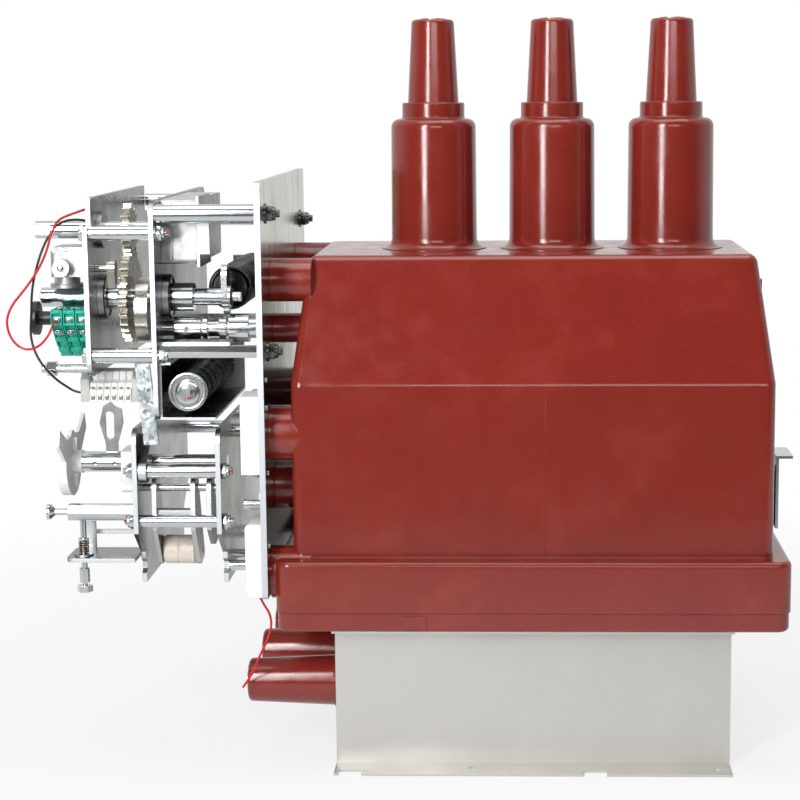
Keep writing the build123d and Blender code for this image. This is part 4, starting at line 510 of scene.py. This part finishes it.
def build_materials(colours):
    """Every finish of the part, by its short name."""
    insulation = {"patch_mm": 9, "grain_mm": 0.8, "depth_mm": 0.006, "edge_mm": 0}
    return {
        # Cast resin: deep red-brown gloss.
        "epoxy": epoxy_material(colours),
        # Bright zinc plating: near mirror, blue-white with faint straw clouds.
        "zinc": metal_material(
            "bright_zinc_plated_steel", colours.zinc, 0.24, patch_mm=14, tint=linear("CFCBBE")),
        # Turned bars, plated: fine rings round the bar, and long bright and dark bands along it.
        "turned": metal_material(
            "turned_zinc_steel", colours.zinc, 0.17, patch_mm=60, stretch=(0.5, 12, 12), grain_mm=0.6,
            depth_mm=0.0006, edge_mm=0.5),
        # Satin stainless, rolled along the stand: long faint lines and a soft sheen.
        "stainless": metal_material(
            "satin_stainless_sheet", colours.stainless, 0.44, patch_mm=90, stretch=(60, 1, 1),
            grain_mm=0.8, depth_mm=0.0012, edge_mm=0.8, dark=0.97),
        # Laser-cut sheet with zinc: grey and half mirror on its faces, white on its cut edges that face
        # along Y, their own bright cut and a painted highlight.
        "plate": metal_material(
            "zinc_plated_sheet", colours.plate, 0.27, patch_mm=45, stretch=(1, 1, 10), grain_mm=0.9,
            depth_mm=0.0015, edge_mm=0.8, dark=0.86, cut_edge_highlight=colours.edge),
        # Chromated zinc: a film in straw, green and purple over a near mirror, with pale cut edges that
        # face along Y, their own bright cut and a painted highlight.
        "passivated": passivated_material(colours.edge),
        # Hobbed gears with a film of oil: silver-grey, darker and warmer in patches.
        "gear": metal_material(
            "oiled_gear_steel", colours.gear, 0.25, patch_mm=7, grain_mm=1.2, depth_mm=0.004,
            edge_mm=0.5, dark=0.80, tint=linear("A09378")),
        # Hot-dip zinc: crystals that each shine in their own tone.
        "spangle": spangle_material(),
        # Shot-blasted aluminium: a pale body that sparkles finely.
        "cast": cast_metal_material(),
        # Spring steel with black lacquer: glossy where the turns face the light.
        "spring": plastic_material(
            "black_lacquered_spring_steel", colours.black, 0.22, pale=1.3, patch_mm=9, grain_mm=0.9,
            depth_mm=0.002, edge_mm=0),
        # Black nylon: deep and half matt, with a faint mould grain.
        "black": plastic_material("black_moulded_nylon", colours.black, 0.38, pale=1.4),
        # Phosphated steel of the dark nuts: dark grey, slightly oily.
        "phosphate": metal_material(
            "grey_phosphated_steel", linear("6E6F6E"), 0.28, patch_mm=6, dark=0.8),
        # Blackened circlips: nearly black with a bright line where the light grazes them.
        "circlip": metal_material(
            "blackened_spring_steel", linear("2B2B2C"), 0.30, patch_mm=8, dark=0.8),
        # Patented spring wire, uncoated: brown-grey with a dull sheen.
        "bare_wire": metal_material(
            "bare_spring_wire", linear("9C8E80"), 0.30, patch_mm=5, dark=0.8, edge_mm=0),
        # Teal plastic: clean and glossy, with soft clouds.
        "green": plastic_material(
            "teal_moulded_abs", colours.green, 0.24, pale=1.2, patch_mm=6, grain_mm=0.9, depth_mm=0.004),
        # White nylon: soft and half matt.
        "white": plastic_material(
            "white_moulded_nylon", colours.white, 0.40, pale=1.02, depth_mm=0.003),
        # Turned nylon: cream, with fine marks of the tool.
        "cream": plastic_material(
            "cream_turned_nylon", colours.cream, 0.40, pale=1.05, patch_mm=5, grain_mm=1.2),
        # Expanded polystyrene: white beads a few millimetres wide.
        "foam": plastic_material(
            "white_bead_foam", linear("F0F0EE"), 0.75, pale=1.02, patch_mm=4, grain_mm=2.2,
            depth_mm=0.10, edge_mm=0.8),
        # Soft PVC insulation: smooth with a slight gloss.
        "red_wire": plastic_material("red_pvc", colours.red_wire, 0.34, pale=1.15, **insulation),
        # The same in black: dark, with a soft line of light.
        "black_wire": plastic_material("black_pvc", colours.black, 0.34, pale=1.5, **insulation),
        # Turned copper contact, lightly tarnished.
        "brass": metal_material("turned_copper_contact", linear("C79A6B"), 0.28, patch_mm=8),
        # End stops of the terminals: grey polyamide.
        "plate_plastic": plastic_material("grey_moulded_nylon", linear("C4C4C0"), 0.42, pale=1.05),
        # Tinned clamps deep in the terminals.
        "terminal_metal": metal_material("tinned_brass_clamp", linear("B7B2A6"), 0.30, patch_mm=4),
        # Inspection paint, brushed on by hand.
        "paint": plastic_material(
            "red_inspection_paint", linear("C01F2B"), 0.35, pale=1.2, patch_mm=2, grain_mm=0.5,
            edge_mm=0),
    }


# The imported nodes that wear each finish.
NODE_FINISH = {
    "epoxy": ["housing", "base_cover", "top_bushing_1", "top_bushing_2", "top_bushing_3",
              "cable_bushings"],
    "stainless": ["stand_near", "stand_far"],
    "passivated": ["mounting_plate"],
    "plate": ["plate_a", "plate_b", "plate_c", "plate_d", "spring_bracket", "motor_bracket",
              "pin_bracket", "levers", "rod_lever", "shelf", "spring_anchor", "bearing_rings"],
    "turned": ["tie_rods", "standoffs", "lower_rods", "lower_standoffs", "main_shaft", "charging_shaft",
               "drive_shaft", "selector_shaft", "long_bolt", "interlock_pin", "hex_bar"],
    "zinc": ["crank", "spring_disc", "hasp", "latch_plate"],
    "gear": ["gear_wheel", "pinion", "cam", "pawl"],
    "spangle": ["slant_bar"],
    "cast": ["motor_gearbox", "gear_block"],
    "black": ["switch_dial", "latch_body"],
    "cream": ["roller"],
    "white": ["cable_box", "notched_disc", "bearing_block"],
    "foam": ["foam_box"],
    "brass": ["contacts"],
}

FINISHES = {}


def put(name, data):
    """A new object in the scene."""
    made = bpy.data.objects.new(name, data)
    bpy.context.scene.collection.objects.link(made)
    return made


class Form:
    """A mesh that grows from turned, prismatic and swept forms, all in metres in the row frame."""

    def __init__(self):
        self.mesh = bmesh.new()

    def loft(self, rings):
        """Joins rings of points, each with as many points as the first, and closes both ends."""
        made = [[self.mesh.verts.new(p) for p in ring] for ring in rings]
        for a, b in zip(made, made[1:]):
            for k in range(len(a)):
                n = (k + 1) % len(a)
                self.mesh.faces.new((a[k], a[n], b[n], b[k]))
        self.mesh.faces.new(made[0][::-1])
        self.mesh.faces.new(made[-1])
        return self

    def turned(self, origin, axis, profile, sides=32, spin=0.0):
        """A turned form: profile is (distance along the axis, radius) in millimetres."""
        turn = Vector(axis).to_track_quat("Z", "Y")
        rings = []
        for along, radius in profile:
            ring = []
            for k in range(sides):
                angle = 2 * math.pi * k / sides + spin
                ring.append(origin + turn @ Vector((
                    radius * MM * math.cos(angle), radius * MM * math.sin(angle), along * MM)))
            rings.append(ring)
        return self.loft(rings)

    def hexagon(self, origin, axis, across, height, spin=0.0):
        """A hexagonal nut or head with chamfered corners, sizes in millimetres."""
        corner = across / math.sqrt(3)
        chamfer = 0.6
        profile = (
            (0.0, corner * 0.93), (chamfer, corner), (height - chamfer, corner), (height, corner * 0.90),
        )
        return self.turned(origin, axis, profile, sides=6, spin=spin)

    def block(self, low, high):
        """A box between two corners, given in metres."""
        xs, ys, zs = zip(low, high)
        rings = [
            [Vector((xs[0], ys[0], z)), Vector((xs[1], ys[0], z)),
             Vector((xs[1], ys[1], z)), Vector((xs[0], ys[1], z))] for z in zs
        ]
        return self.loft(rings)

    def prism(self, outline, along):
        """A flat outline of points moved along a vector."""
        return self.loft([[p.copy() for p in outline], [p + along for p in outline]])

    def tube(self, path, radius, sides):
        """A round tube along a list of points, in metres."""
        rings = []
        last = len(path) - 1
        across = None
        for k, point in enumerate(path):
            along = (path[min(k + 1, last)] - path[max(k - 1, 0)]).normalized()
            if across is None:
                across = along.orthogonal().normalized()
            across = (across - along * across.dot(along)).normalized()
            other = along.cross(across)
            rings.append([
                point + radius * (math.cos(a) * across + math.sin(a) * other)
                for a in [2 * math.pi * s / sides for s in range(sides)]
            ])
        return self.loft(rings)

    def done(self, name, finish, bevel_mm=0.0, smooth_deg=35.0, body="frame"):
        """Makes the object, rounds its edges, gives it its finish and puts it on its body."""
        bmesh.ops.recalc_face_normals(self.mesh, faces=self.mesh.faces)
        mesh = bpy.data.meshes.new(name)
        self.mesh.to_mesh(mesh)
        self.mesh.free()
        piece = put(name, mesh)
        if bevel_mm:
            rounding = piece.modifiers.new("rounding", "BEVEL")
            rounding.width = bevel_mm * MM
            rounding.segments = 2
            rounding.limit_method = "ANGLE"
            rounding.angle_limit = math.radians(40)
            evaluated = piece.evaluated_get(bpy.context.evaluated_depsgraph_get())
            rounded = bpy.data.meshes.new_from_object(evaluated)
            piece.modifiers.clear()
            piece.data = rounded
            mesh = rounded
        mesh.shade_smooth()
        mesh.set_sharp_from_angle(angle=math.radians(smooth_deg))
        mesh.materials.clear()
        mesh.materials.append(FINISHES[finish])
        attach(piece, body)
        return piece


def helix(start, axis, across, length, radius, pitch, steps_per_turn):
    """Points of a coil from start along an axis."""
    turn = Vector(axis).normalized()
    side = Vector(across).normalized()
    other = turn.cross(side)
    turns = length / pitch
    count = int(turns * steps_per_turn)
    points = []
    for k in range(count + 1):
        share = k / count
        angle = 2 * math.pi * turns * share
        points.append(start + turn * (length * share) + radius * (
            math.cos(angle) * side + math.sin(angle) * other))
    return points


def side_on(x, outline):
    """Points of an outline seen along X: x in metres, Y and Z in millimetres."""
    return [Vector((x, y * MM, z * MM)) for y, z in outline]


def offset(place, step):
    """A place in metres moved by a step in millimetres."""
    return place + Vector(step) * MM


class BREAKER_OT_finishes(bpy.types.Operator):
    """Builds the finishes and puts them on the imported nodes"""

    bl_idname = "breaker.finishes"
    bl_label = "Finishes"

    def execute(self, context):
        FINISHES.update(build_materials(context.scene.breaker_colours))
        for finish, names in NODE_FINISH.items():
            for name in names:
                materials = NODES[name].data.materials
                materials.clear()
                materials.append(FINISHES[finish])
        return {"FINISHED"}


class BREAKER_OT_stage(bpy.types.Operator):
    """Sets the floor, the studio light and the camera"""

    bl_idname = "breaker.stage"
    bl_label = "Stage"

    def execute(self, context):
        scene = context.scene
        scene.view_settings.view_transform = "Standard"
        self.floor(scene)
        self.world(scene)
        self.lamps()
        self.camera(scene)
        return {"FINISHED"}

    def floor(self, scene):
        """A pale floor that keeps the shadow and shows white to the camera and in reflections."""
        half = scene.breaker_sizes.floor / 2
        mesh = bpy.data.meshes.new("floor")
        corners = [(-half, -half, 0), (half, -half, 0), (half, half, 0), (-half, half, 0)]
        mesh.from_pydata(corners, [], [(0, 1, 2, 3)])
        floor = put("floor", mesh)
        material = bpy.data.materials.new("pale_studio_floor")
        tree = empty_tree(material)
        ray = add_node(tree, "ShaderNodeLightPath").outputs
        glossy = ray["Is Glossy Ray"]
        seen = reckon(tree, "MAXIMUM", ray["Is Camera Ray"], glossy)
        seen = reckon(tree, "MAXIMUM", seen, ray["Is Transmission Ray"])
        place = add_node(tree, "ShaderNodeTexCoord").outputs["Object"]
        away = add_node(tree, "ShaderNodeVectorMath", {"operation": "LENGTH"}, {"Vector": place})
        plain = spread(tree, away.outputs["Value"], 0.80, 1.0, *FLOOR_FADE)
        front = add_node(tree, "ShaderNodeSeparateXYZ", values={"Vector": place}).outputs["Y"]
        in_gloss = spread(tree, front, 0.08, 1.0, *DARK_FRONT)
        plain = reckon(tree, "MULTIPLY", plain, between(tree, glossy, 1.0, in_gloss))
        share = reckon(tree, "MULTIPLY", seen, plain)
        hidden = between(tree, glossy, 0.0, spread(tree, front, 0.95, 0.0, *DARK_FRONT))
        paint = add_node(tree, "ShaderNodeBsdfDiffuse", values={
            "Color": blend(tree, hidden, linear("E6E6E6"), linear("101010"))})
        glow = add_node(tree, "ShaderNodeEmission", values={"Color": linear("FFFFFF"), "Strength": 1.0})
        mixed = add_node(tree, "ShaderNodeMixShader", values={
            0: share, 1: paint.outputs["BSDF"], 2: glow.outputs["Emission"]})
        add_node(tree, "ShaderNodeOutputMaterial", values={"Surface": mixed.outputs["Shader"]})
        mesh.materials.append(material)

    def world(self, scene):
        """White to the camera; to reflections a white room, darker behind the camera and low down."""
        world = bpy.data.worlds.new("studio")
        scene.world = world
        tree = empty_tree(world)
        ray = add_node(tree, "ShaderNodeLightPath")
        direction = add_node(tree, "ShaderNodeTexCoord").outputs["Generated"]
        parts = add_node(tree, "ShaderNodeSeparateXYZ", values={"Vector": direction})
        depth = add_node(tree, "ShaderNodeMapRange", {"interpolation_type": "SMOOTHSTEP"}, {
            "Value": parts.outputs["Y"], "From Min": -0.55, "From Max": 0.25,
            "To Min": 0.0, "To Max": 1.0}).outputs["Result"]
        room = blend(tree, depth, linear("4A4A4C"), linear("FFFFFF"))
        fill = add_node(tree, "ShaderNodeBackground", values={"Color": room, "Strength": ROOM_FILL})
        plain = add_node(tree, "ShaderNodeBackground", values={"Color": room, "Strength": ROOM_GLOSS})
        white = add_node(
            tree, "ShaderNodeBackground", values={"Color": linear("FFFFFF"), "Strength": 1.0})
        glossy = add_node(tree, "ShaderNodeMixShader", values={
            0: ray.outputs["Is Glossy Ray"], 1: fill.outputs["Background"],
            2: plain.outputs["Background"]})
        seen = reckon(tree, "MAXIMUM", ray.outputs["Is Camera Ray"], ray.outputs["Is Transmission Ray"])
        mixed = add_node(tree, "ShaderNodeMixShader", values={
            0: seen, 1: glossy.outputs["Shader"], 2: white.outputs["Background"]})
        add_node(tree, "ShaderNodeOutputWorld", values={"Surface": mixed.outputs["Shader"]})

    def lamps(self):
        """A tall soft box left of the camera, a high one in front and a broad one above."""
        for name, place, aim, width, height, power in LAMPS:
            light = bpy.data.lights.new(name, "AREA")
            light.shape = "RECTANGLE"
            light.size = width
            light.size_y = height
            light.energy = power
            lamp = put(name, light)
            lamp.location = place
            lamp.rotation_euler = (Vector(aim) - Vector(place)).to_track_quat("-Z", "Y").to_euler()

    def camera(self, scene):
        """The photograph's view, fitted to the edges of the housing, plates and stand."""
        data = bpy.data.cameras.new("photo_view")
        data.sensor_fit = "HORIZONTAL"
        data.sensor_width = CAMERA_SENSOR_MM
        data.lens = CAMERA_LENS_MM
        data.shift_x = CAMERA_SHIFT
        data.clip_end = CAMERA_REACH
        camera = put("photo_view", data)
        yaw, down, roll = (math.radians(a) for a in CAMERA_YAW_DOWN_ROLL)
        level = math.cos(down)
        ahead = Vector((math.sin(yaw) * level, math.cos(yaw) * level, -math.sin(down)))
        right = Vector((math.cos(yaw), -math.sin(yaw), 0))
        up = right.cross(ahead)
        across = right * math.cos(roll) + up * math.sin(roll)
        above = up * math.cos(roll) - right * math.sin(roll)
        turn = Matrix((across, above, -ahead)).transposed().to_4x4()
        camera.matrix_world = Matrix.Translation(at(*CAMERA_PLACE)) @ turn
        scene.camera = camera


class BREAKER_OT_springs(bpy.types.Operator):
    """Winds the two black tension springs and the small spring of the interlock pin"""

    bl_idname = "breaker.springs"
    bl_label = "Springs"

    def execute(self, context):
        sizes = context.scene.breaker_sizes
        for node, wire in (("upper_spring", sizes.upper_wire), ("lower_spring", sizes.lower_wire)):
            self.tension_spring(node, wire, sizes.coil_gap)
        self.pin_spring(sizes.pin_wire)
        return {"FINISHED"}

    def tension_spring(self, node, wire, gap):
        """A coil along Y round a dark core, with stepped rings at its near end."""
        low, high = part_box(node)
        middle = (low + high) / 2
        outer = (high.x - low.x) / 2
        start = Vector((middle.x, low.y + wire / 2, middle.z))
        length = high.y - low.y - wire
        line = helix(start, (0, 1, 0), (1, 0, 0), length, outer - wire / 2, wire + gap, COIL_STEPS)
        coil = Form().tube(line, wire / 2, COIL_SIDES)
        core = (outer - wire) * PER_METRE - CORE_GAP_MM
        near = Vector((middle.x, low.y, middle.z))
        rings = [(along, core * share) for along, share in SPRING_END] + [(length * PER_METRE, core)]
        coil.turned(near, (0, 1, 0), rings, sides=40)
        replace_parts(coil.done(node + "_coil", "spring", smooth_deg=50), node)

    def pin_spring(self, wire):
        """The open coil round the interlock pin."""
        low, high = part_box("pin_spring")
        middle = (low + high) / 2
        radius = (high.x - low.x) / 2 - wire / 2
        length = high.z - low.z - wire
        start = Vector((middle.x, middle.y, low.z + wire / 2))
        line = helix(start, (0, 0, 1), (1, 0, 0), length, radius, length / PIN_TURNS, 24)
        coil = Form().tube(line, wire / 2, 8)
        piece = coil.done("pin_spring_coil", "bare_wire", smooth_deg=50)
        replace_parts(piece, "pin_spring")
        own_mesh(piece)


class BREAKER_OT_fasteners(bpy.types.Operator):
    """Adds the nuts, bolt ends, washers and small screws"""

    bl_idname = "breaker.fasteners"
    bl_label = "Nuts and bolts"

    def nut(self, form, origin, axis, across, height, thread_r, out, washer=0.0, spin=0.0):
        """A locking nut with its rounded collar and the bolt's end."""
        unit = Vector(axis).normalized()
        seat = 0.0
        if washer:
            seat = WASHER_THICK
            form.turned(origin, axis, [(0, washer / 2), (seat, washer / 2), (seat, thread_r)], sides=28)
        body = height * NUT_BODY
        form.hexagon(origin + unit * seat * MM, axis, across, body, spin=spin)
        collar = across * NUT_COLLAR
        form.turned(origin + unit * (seat + body) * MM, axis, [
            (0, collar), (height * 0.22, collar), (height * 0.32, collar * NUT_COLLAR_TOP),
            (height * 0.32, thread_r + 0.2)], sides=28)
        end = seat + height
        ridges = [(end - 1, thread_r)]
        along = end
        while along < end + out - 0.8:
            ridges += [(along, thread_r), (along + THREAD_PITCH / 2, thread_r - THREAD_DEPTH)]
            along += THREAD_PITCH
        ridges += [(end + out - 0.6, thread_r), (end + out, thread_r - 0.7)]
        form.turned(origin, axis, ridges, sides=20)

    def rod_nuts(self, m8, m6, out):
        """Bright nuts and heads at the ends of the rods, and the motor's two bolts."""
        form = Form()
        right, left = (1, 0, 0), (-1, 0, 0)
        for y, heights in TIE_ROWS:
            for k, z in enumerate(heights):
                self.nut(form, at(B_RIGHT_X, y, z), right, m8, height=9.0, thread_r=4.0, out=out,
                         washer=17.0, spin=0.3 * k)
                form.hexagon(at(A_LEFT_X, y, z), left, m8, height=5.0, spin=0.2)
        for y, heights in LOWER_ROWS:
            for z in heights:
                for x, axis, spin in ((C_LEFT_X, left, 0.5), (D_RIGHT_X, right, 0.1)):
                    self.nut(form, at(x, y, z), axis, m8, height=8.0, thread_r=3.6, out=3.0, spin=spin)
        for y, z, spin in MOTOR_BOLTS:
            form.hexagon(at(MOTOR_FOOT_X, y, z), right, m6, height=4.0, spin=spin)
        form.done("rod_nuts", "zinc", bevel_mm=0.25)

    def plate_nuts(self, m8):
        """Dark nuts on the right face of the mounting plate."""
        form = Form()
        seat = NUT_WASHER[1][0]
        for y, z in STANDOFF_ENDS:
            form.turned(at(PLATE_RIGHT_X, y, z), (1, 0, 0), NUT_WASHER, sides=28)
            self.nut(form, at(PLATE_RIGHT_X + seat, y, z), (1, 0, 0), m8, height=9.0, thread_r=4.0,
                     out=4.0)
        form.done("plate_nuts", "phosphate", bevel_mm=0.25)

    def small_screws(self):
        """Screws in the mounting plate and the gear block's knob, and the bolts under the housing."""
        small = Form()
        for y, z in PLATE_SCREWS:
            small.turned(at(PLATE_RIGHT_X, y, z), (1, 0, 0), PLATE_SCREW, sides=20)
        small.turned(at(*KNOB_FACE), (0, -1, 0), KNOB_SCREW, sides=24)
        small.done("plate_screws", "zinc", bevel_mm=0.1)
        cover = Form()
        for place in COVER_BOLTS:
            cover.turned(at(*place), (0, 0, -1), COVER_BOLT, sides=24)
        cover.done("cover_bolts", "turned", bevel_mm=0.1)

    def spring_nut(self, across):
        """The raised rim and the flanged nut on the lower spring's end disc."""
        form = Form()
        face = at(*DISC_FACE)
        near = (0, -1, 0)
        form.turned(face, near, DISC_RIM, sides=48)
        form.turned(face, near, DISC_FLANGE, sides=36)
        form.hexagon(offset(face, (0, -2.6, 0)), near, across + 1.5, height=5.5, spin=0.3)
        form.turned(offset(face, (0, -8.0, 0)), near, DISC_NUT_COLLAR, sides=28)
        form.done("spring_nut", "zinc", bevel_mm=0.25)

    def circlips(self):
        """Black retaining rings on the bearings, and one on the crank's bolt that turns with it."""
        form = Form()
        for place in BEARING_FACES:
            form.turned(at(*place), (1, 0, 0), BEARING_CIRCLIP, sides=48)
        form.done("bearing_circlips", "circlip", bevel_mm=0.1)
        ring = Form()
        ring.turned(at(*CRANK_WASHER_FACE), (1, 0, 0), CRANK_CIRCLIP, sides=32)
        ring.done("crank_circlip", "circlip", bevel_mm=0.1, body="gear")

    def execute(self, context):
        sizes = context.scene.breaker_fasteners
        out, m8, m6 = (v * PER_METRE for v in (sizes.thread_out, sizes.nut_m8, sizes.nut_m6))
        self.rod_nuts(m8, m6, out)
        self.plate_nuts(m8)
        self.small_screws()
        self.spring_nut(m8)
        self.circlips()
        marks = Form()
        for place in PAINT_MARKS:
            marks.turned(at(*place), (0, -1, 0), PAINT_DAB, sides=12)
        marks.done("paint_marks", "paint")
        return {"FINISHED"}


class BREAKER_OT_switch(bpy.types.Operator):
    """Builds the auxiliary switch: three moulded layers, each with two screw terminals"""

    bl_idname = "breaker.switch"
    bl_label = "Auxiliary switch"

    def execute(self, context):
        low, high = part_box("aux_switch")
        width = (high.x - low.x) / SWITCH_LAYERS
        wall = SWITCH_WALL_THICK * MM
        body = Form()
        metal = Form()
        slot_shades = Form()
        for k in range(SWITCH_LAYERS):
            x0 = low.x + k * width + SWITCH_GAP / 2 * MM
            x1 = x0 + width - SWITCH_GAP * MM
            body.prism(side_on(x0, SWITCH_LAYER), Vector((x1 - x0, 0, 0)))
            for x in (x0, x1 - wall):
                body.prism(side_on(x, SWITCH_WALL), Vector((wall, 0, 0)))
            for (y, z), axis in SWITCH_SCREWS:
                seat = Vector(((x0 + x1) / 2, y * MM, z * MM))
                self.screw(metal, slot_shades, seat, Vector(axis).normalized())
            for share in CLIP_SHARES:
                x = x0 + (x1 - x0) * share
                low_end = (x - CLIP_HALF * MM, CLIP_LOW[0] * MM, CLIP_LOW[1] * MM)
                metal.block(low_end, (x + CLIP_HALF * MM, CLIP_HIGH[0] * MM, CLIP_HIGH[1] * MM))
        shell = body.done("switch_layers", "green", bevel_mm=0.3)
        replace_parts(shell, "aux_switch")
        metal.done("switch_screws", "zinc", bevel_mm=0.15)
        slot_shades.done("switch_screw_slot_shades", "phosphate")
        return {"FINISHED"}

    def screw(self, metal, slot_shades, seat, axis):
        """A cross-headed screw on its square pad, with thin dark sheets on its head as painted shade in
        the cross recess.
        """
        x_way = Vector((1, 0, 0))
        up = axis.cross(x_way).normalized()
        side = x_way * SCREW_PAD_HALF[0] * MM
        rise = up * SCREW_PAD_HALF[1] * MM
        pad = [seat - side - rise, seat + side - rise, seat + side + rise, seat - side + rise]
        metal.prism(pad, axis * SCREW_PAD_THICK * MM)
        metal.turned(seat, axis, SWITCH_SCREW, sides=20)
        face = seat + axis * SCREW_FACE * MM
        # Painted shade: two thin dark sheets on the screw's face stand in for the shade in its cross
        # recess.
        for turn in SLOT_SHADE_TURNS:
            along = x_way * math.cos(turn) + up * math.sin(turn)
            run = along * SLOT_SHADE_HALF[0] * MM
            across = axis.cross(along) * SLOT_SHADE_HALF[1] * MM
            slot_shade = [face - run - across, face + run - across, face + run + across, face - run + across]
            slot_shades.prism(slot_shade, axis * SLOT_SHADE_THICK * MM)


class BREAKER_OT_terminals(bpy.types.Operator):
    """Builds the terminal strip: six white modules between grey end stops"""

    bl_idname = "breaker.terminals"
    bl_label = "Terminal strip"

    def execute(self, context):
        low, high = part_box("terminal_strip")
        near, foot = low.y * PER_METRE, low.z * PER_METRE
        far, top = high.y * PER_METRE, high.z * PER_METRE
        ends = Form()
        stop = END_STOP * MM
        slope_y, slope_z = END_SLOPE
        for x in (low.x, high.x - stop):
            ends.prism(side_on(x, [
                (near + END_IN, foot), (far, foot), (far, top), (near + slope_y, top),
                (near + END_IN, top - slope_z),
            ]), Vector((stop, 0, 0)))
        ends.done("terminal_ends", "plate_plastic", bevel_mm=0.5)
        first = low.x + END_MARGIN * MM
        pitch = (high.x - END_MARGIN * MM - first) / TERMINALS
        stepped = [(near + y, foot + z) for y, z in MODULE_STEPS]
        outline = [(far, foot), *stepped, (near + MODULE_STEPS[-1][0], top), (far, top)]
        modules = Form()
        clamps = Form()
        for k in range(TERMINALS):
            x0 = first + k * pitch + MODULE_GAP / 2 * MM
            wide = pitch - MODULE_GAP * MM
            modules.prism(side_on(x0, outline), Vector((wide, 0, 0)))
            edge = Vector((x0 + wide / 2, low.y, low.z))
            clamps.block(offset(edge, CLAMP_LOW), offset(edge, CLAMP_HIGH))
            clamps.turned(offset(edge, CLAMP_SCREW_PLACE), CLAMP_SCREW_AXIS, CLAMP_SCREW, sides=16)
        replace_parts(modules.done("terminal_modules", "white", bevel_mm=0.25), "terminal_strip")
        clamps.done("terminal_clamps", "terminal_metal", bevel_mm=0.1)
        return {"FINISHED"}


class BREAKER_OT_wires(bpy.types.Operator):
    """Lays the loose wires of the motor, the switch and the cable box"""

    bl_idname = "breaker.wires"
    bl_label = "Wires"

    def lay(self, name, node, finish, route, diameter):
        """A wire as one smooth spline through its route."""
        data = bpy.data.curves.new(name, "CURVE")
        data.dimensions = "3D"
        # The points' radius carries the wire's size, which keeps the curve's box true.
        data.bevel_depth = 1.0
        data.bevel_resolution = 5
        data.resolution_u = 14
        data.use_fill_caps = True
        spline = data.splines.new("NURBS")
        spline.points.add(len(route) - 1)
        for point, place in zip(spline.points, route):
            point.co = (*place, 1.0)
            point.radius = diameter / 2
        spline.order_u = 3
        spline.use_endpoint_u = True
        data.materials.append(FINISHES[finish])
        wire = put(name, data)
        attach(wire, "frame")
        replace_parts(wire, node)
        return wire

    def line_length(self, wire):
        """The length of the wire's own line, read from its spline."""
        depth = wire.data.bevel_depth
        wire.data.bevel_depth = 0.0
        mesh = bpy.data.meshes.new_from_object(wire)
        wire.data.bevel_depth = depth
        points = [v.co.copy() for v in mesh.vertices]
        bpy.data.meshes.remove(mesh)
        return sum((b - a).length for a, b in zip(points, points[1:]))

    def execute(self, context):
        lead = context.scene.breaker_sizes.lead
        for name, node, finish, route, end in (
            ("red_lead", "red_wire", "red_wire", RED_ROUTE, "object"),
            ("black_lead", "black_wire", "black_wire", BLACK_ROUTE, "bare"),
            ("lower_lead", "lower_wire", "red_wire", LOWER_ROUTE, "bare"),
        ):
            wire = self.lay(name, node, finish, route, lead)
            self.line_length(wire)
        return {"FINISHED"}


class BREAKER_OT_casting_details(bpy.types.Operator):
    """Adds the mould's parting line to the housing"""

    bl_idname = "breaker.casting_details"
    bl_label = "Casting details"

    def execute(self, context):
        half = context.scene.breaker_sizes.seam / 2
        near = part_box("housing")[0].y + SEAM_INSET
        x = at(SEAM_X, 0, 0).x
        seam = Form()
        seam.block((x - half, near - SEAM_PROUD, SEAM_LOW_Z), (x + half, near + SEAM_DEEP, SEAM_TOP_Z))
        seam.done("parting_line", "epoxy", bevel_mm=0.05)
        return {"FINISHED"}


class BREAKER_PT_panel(bpy.types.Panel):
    """Lists the steps and values of the dressing"""

    bl_idname = "BREAKER_PT_panel"
    bl_label = "Vacuum Circuit Breaker"
    bl_space_type = "VIEW_3D"
    bl_region_type = "UI"
    bl_category = "Breaker"

    def draw(self, context):
        layout = self.layout
        for operator in OPERATORS:
            layout.operator(operator.bl_idname)
        for name, group in GROUPS.items():
            box = layout.box()
            for key in group.__annotations__:
                box.prop(getattr(context.scene, name), key)


OPERATORS = (
    BREAKER_OT_finishes, BREAKER_OT_stage, BREAKER_OT_springs, BREAKER_OT_fasteners, BREAKER_OT_switch,
    BREAKER_OT_terminals, BREAKER_OT_wires, BREAKER_OT_casting_details,
)
GROUPS = {
    "breaker_colours": BreakerColours,
    "breaker_sizes": BreakerSizes,
    "breaker_fasteners": BreakerFasteners,
}


def register():
    """Registers the value groups, the operators and the panel."""
    for group in GROUPS.values():
        bpy.utils.register_class(group)
    for name, group in GROUPS.items():
        setattr(bpy.types.Scene, name, bpy.props.PointerProperty(type=group))
    for operator in OPERATORS:
        bpy.utils.register_class(operator)
    bpy.utils.register_class(BREAKER_PT_panel)


def unregister():
    """Takes the panel, the operators and the value groups out again."""
    bpy.utils.unregister_class(BREAKER_PT_panel)
    for operator in reversed(OPERATORS):
        bpy.utils.unregister_class(operator)
    for name in GROUPS:
        delattr(bpy.types.Scene, name)
    for group in reversed(GROUPS.values()):
        bpy.utils.unregister_class(group)


def main():
    """Registers the dressing and dresses the part."""
    register()
    bpy.ops.breaker.finishes()
    bpy.ops.breaker.stage()
    bpy.ops.breaker.springs()
    bpy.ops.breaker.fasteners()
    bpy.ops.breaker.switch()
    bpy.ops.breaker.terminals()
    bpy.ops.breaker.wires()
    bpy.ops.breaker.casting_details()


if __name__ == "__main__":
    main()
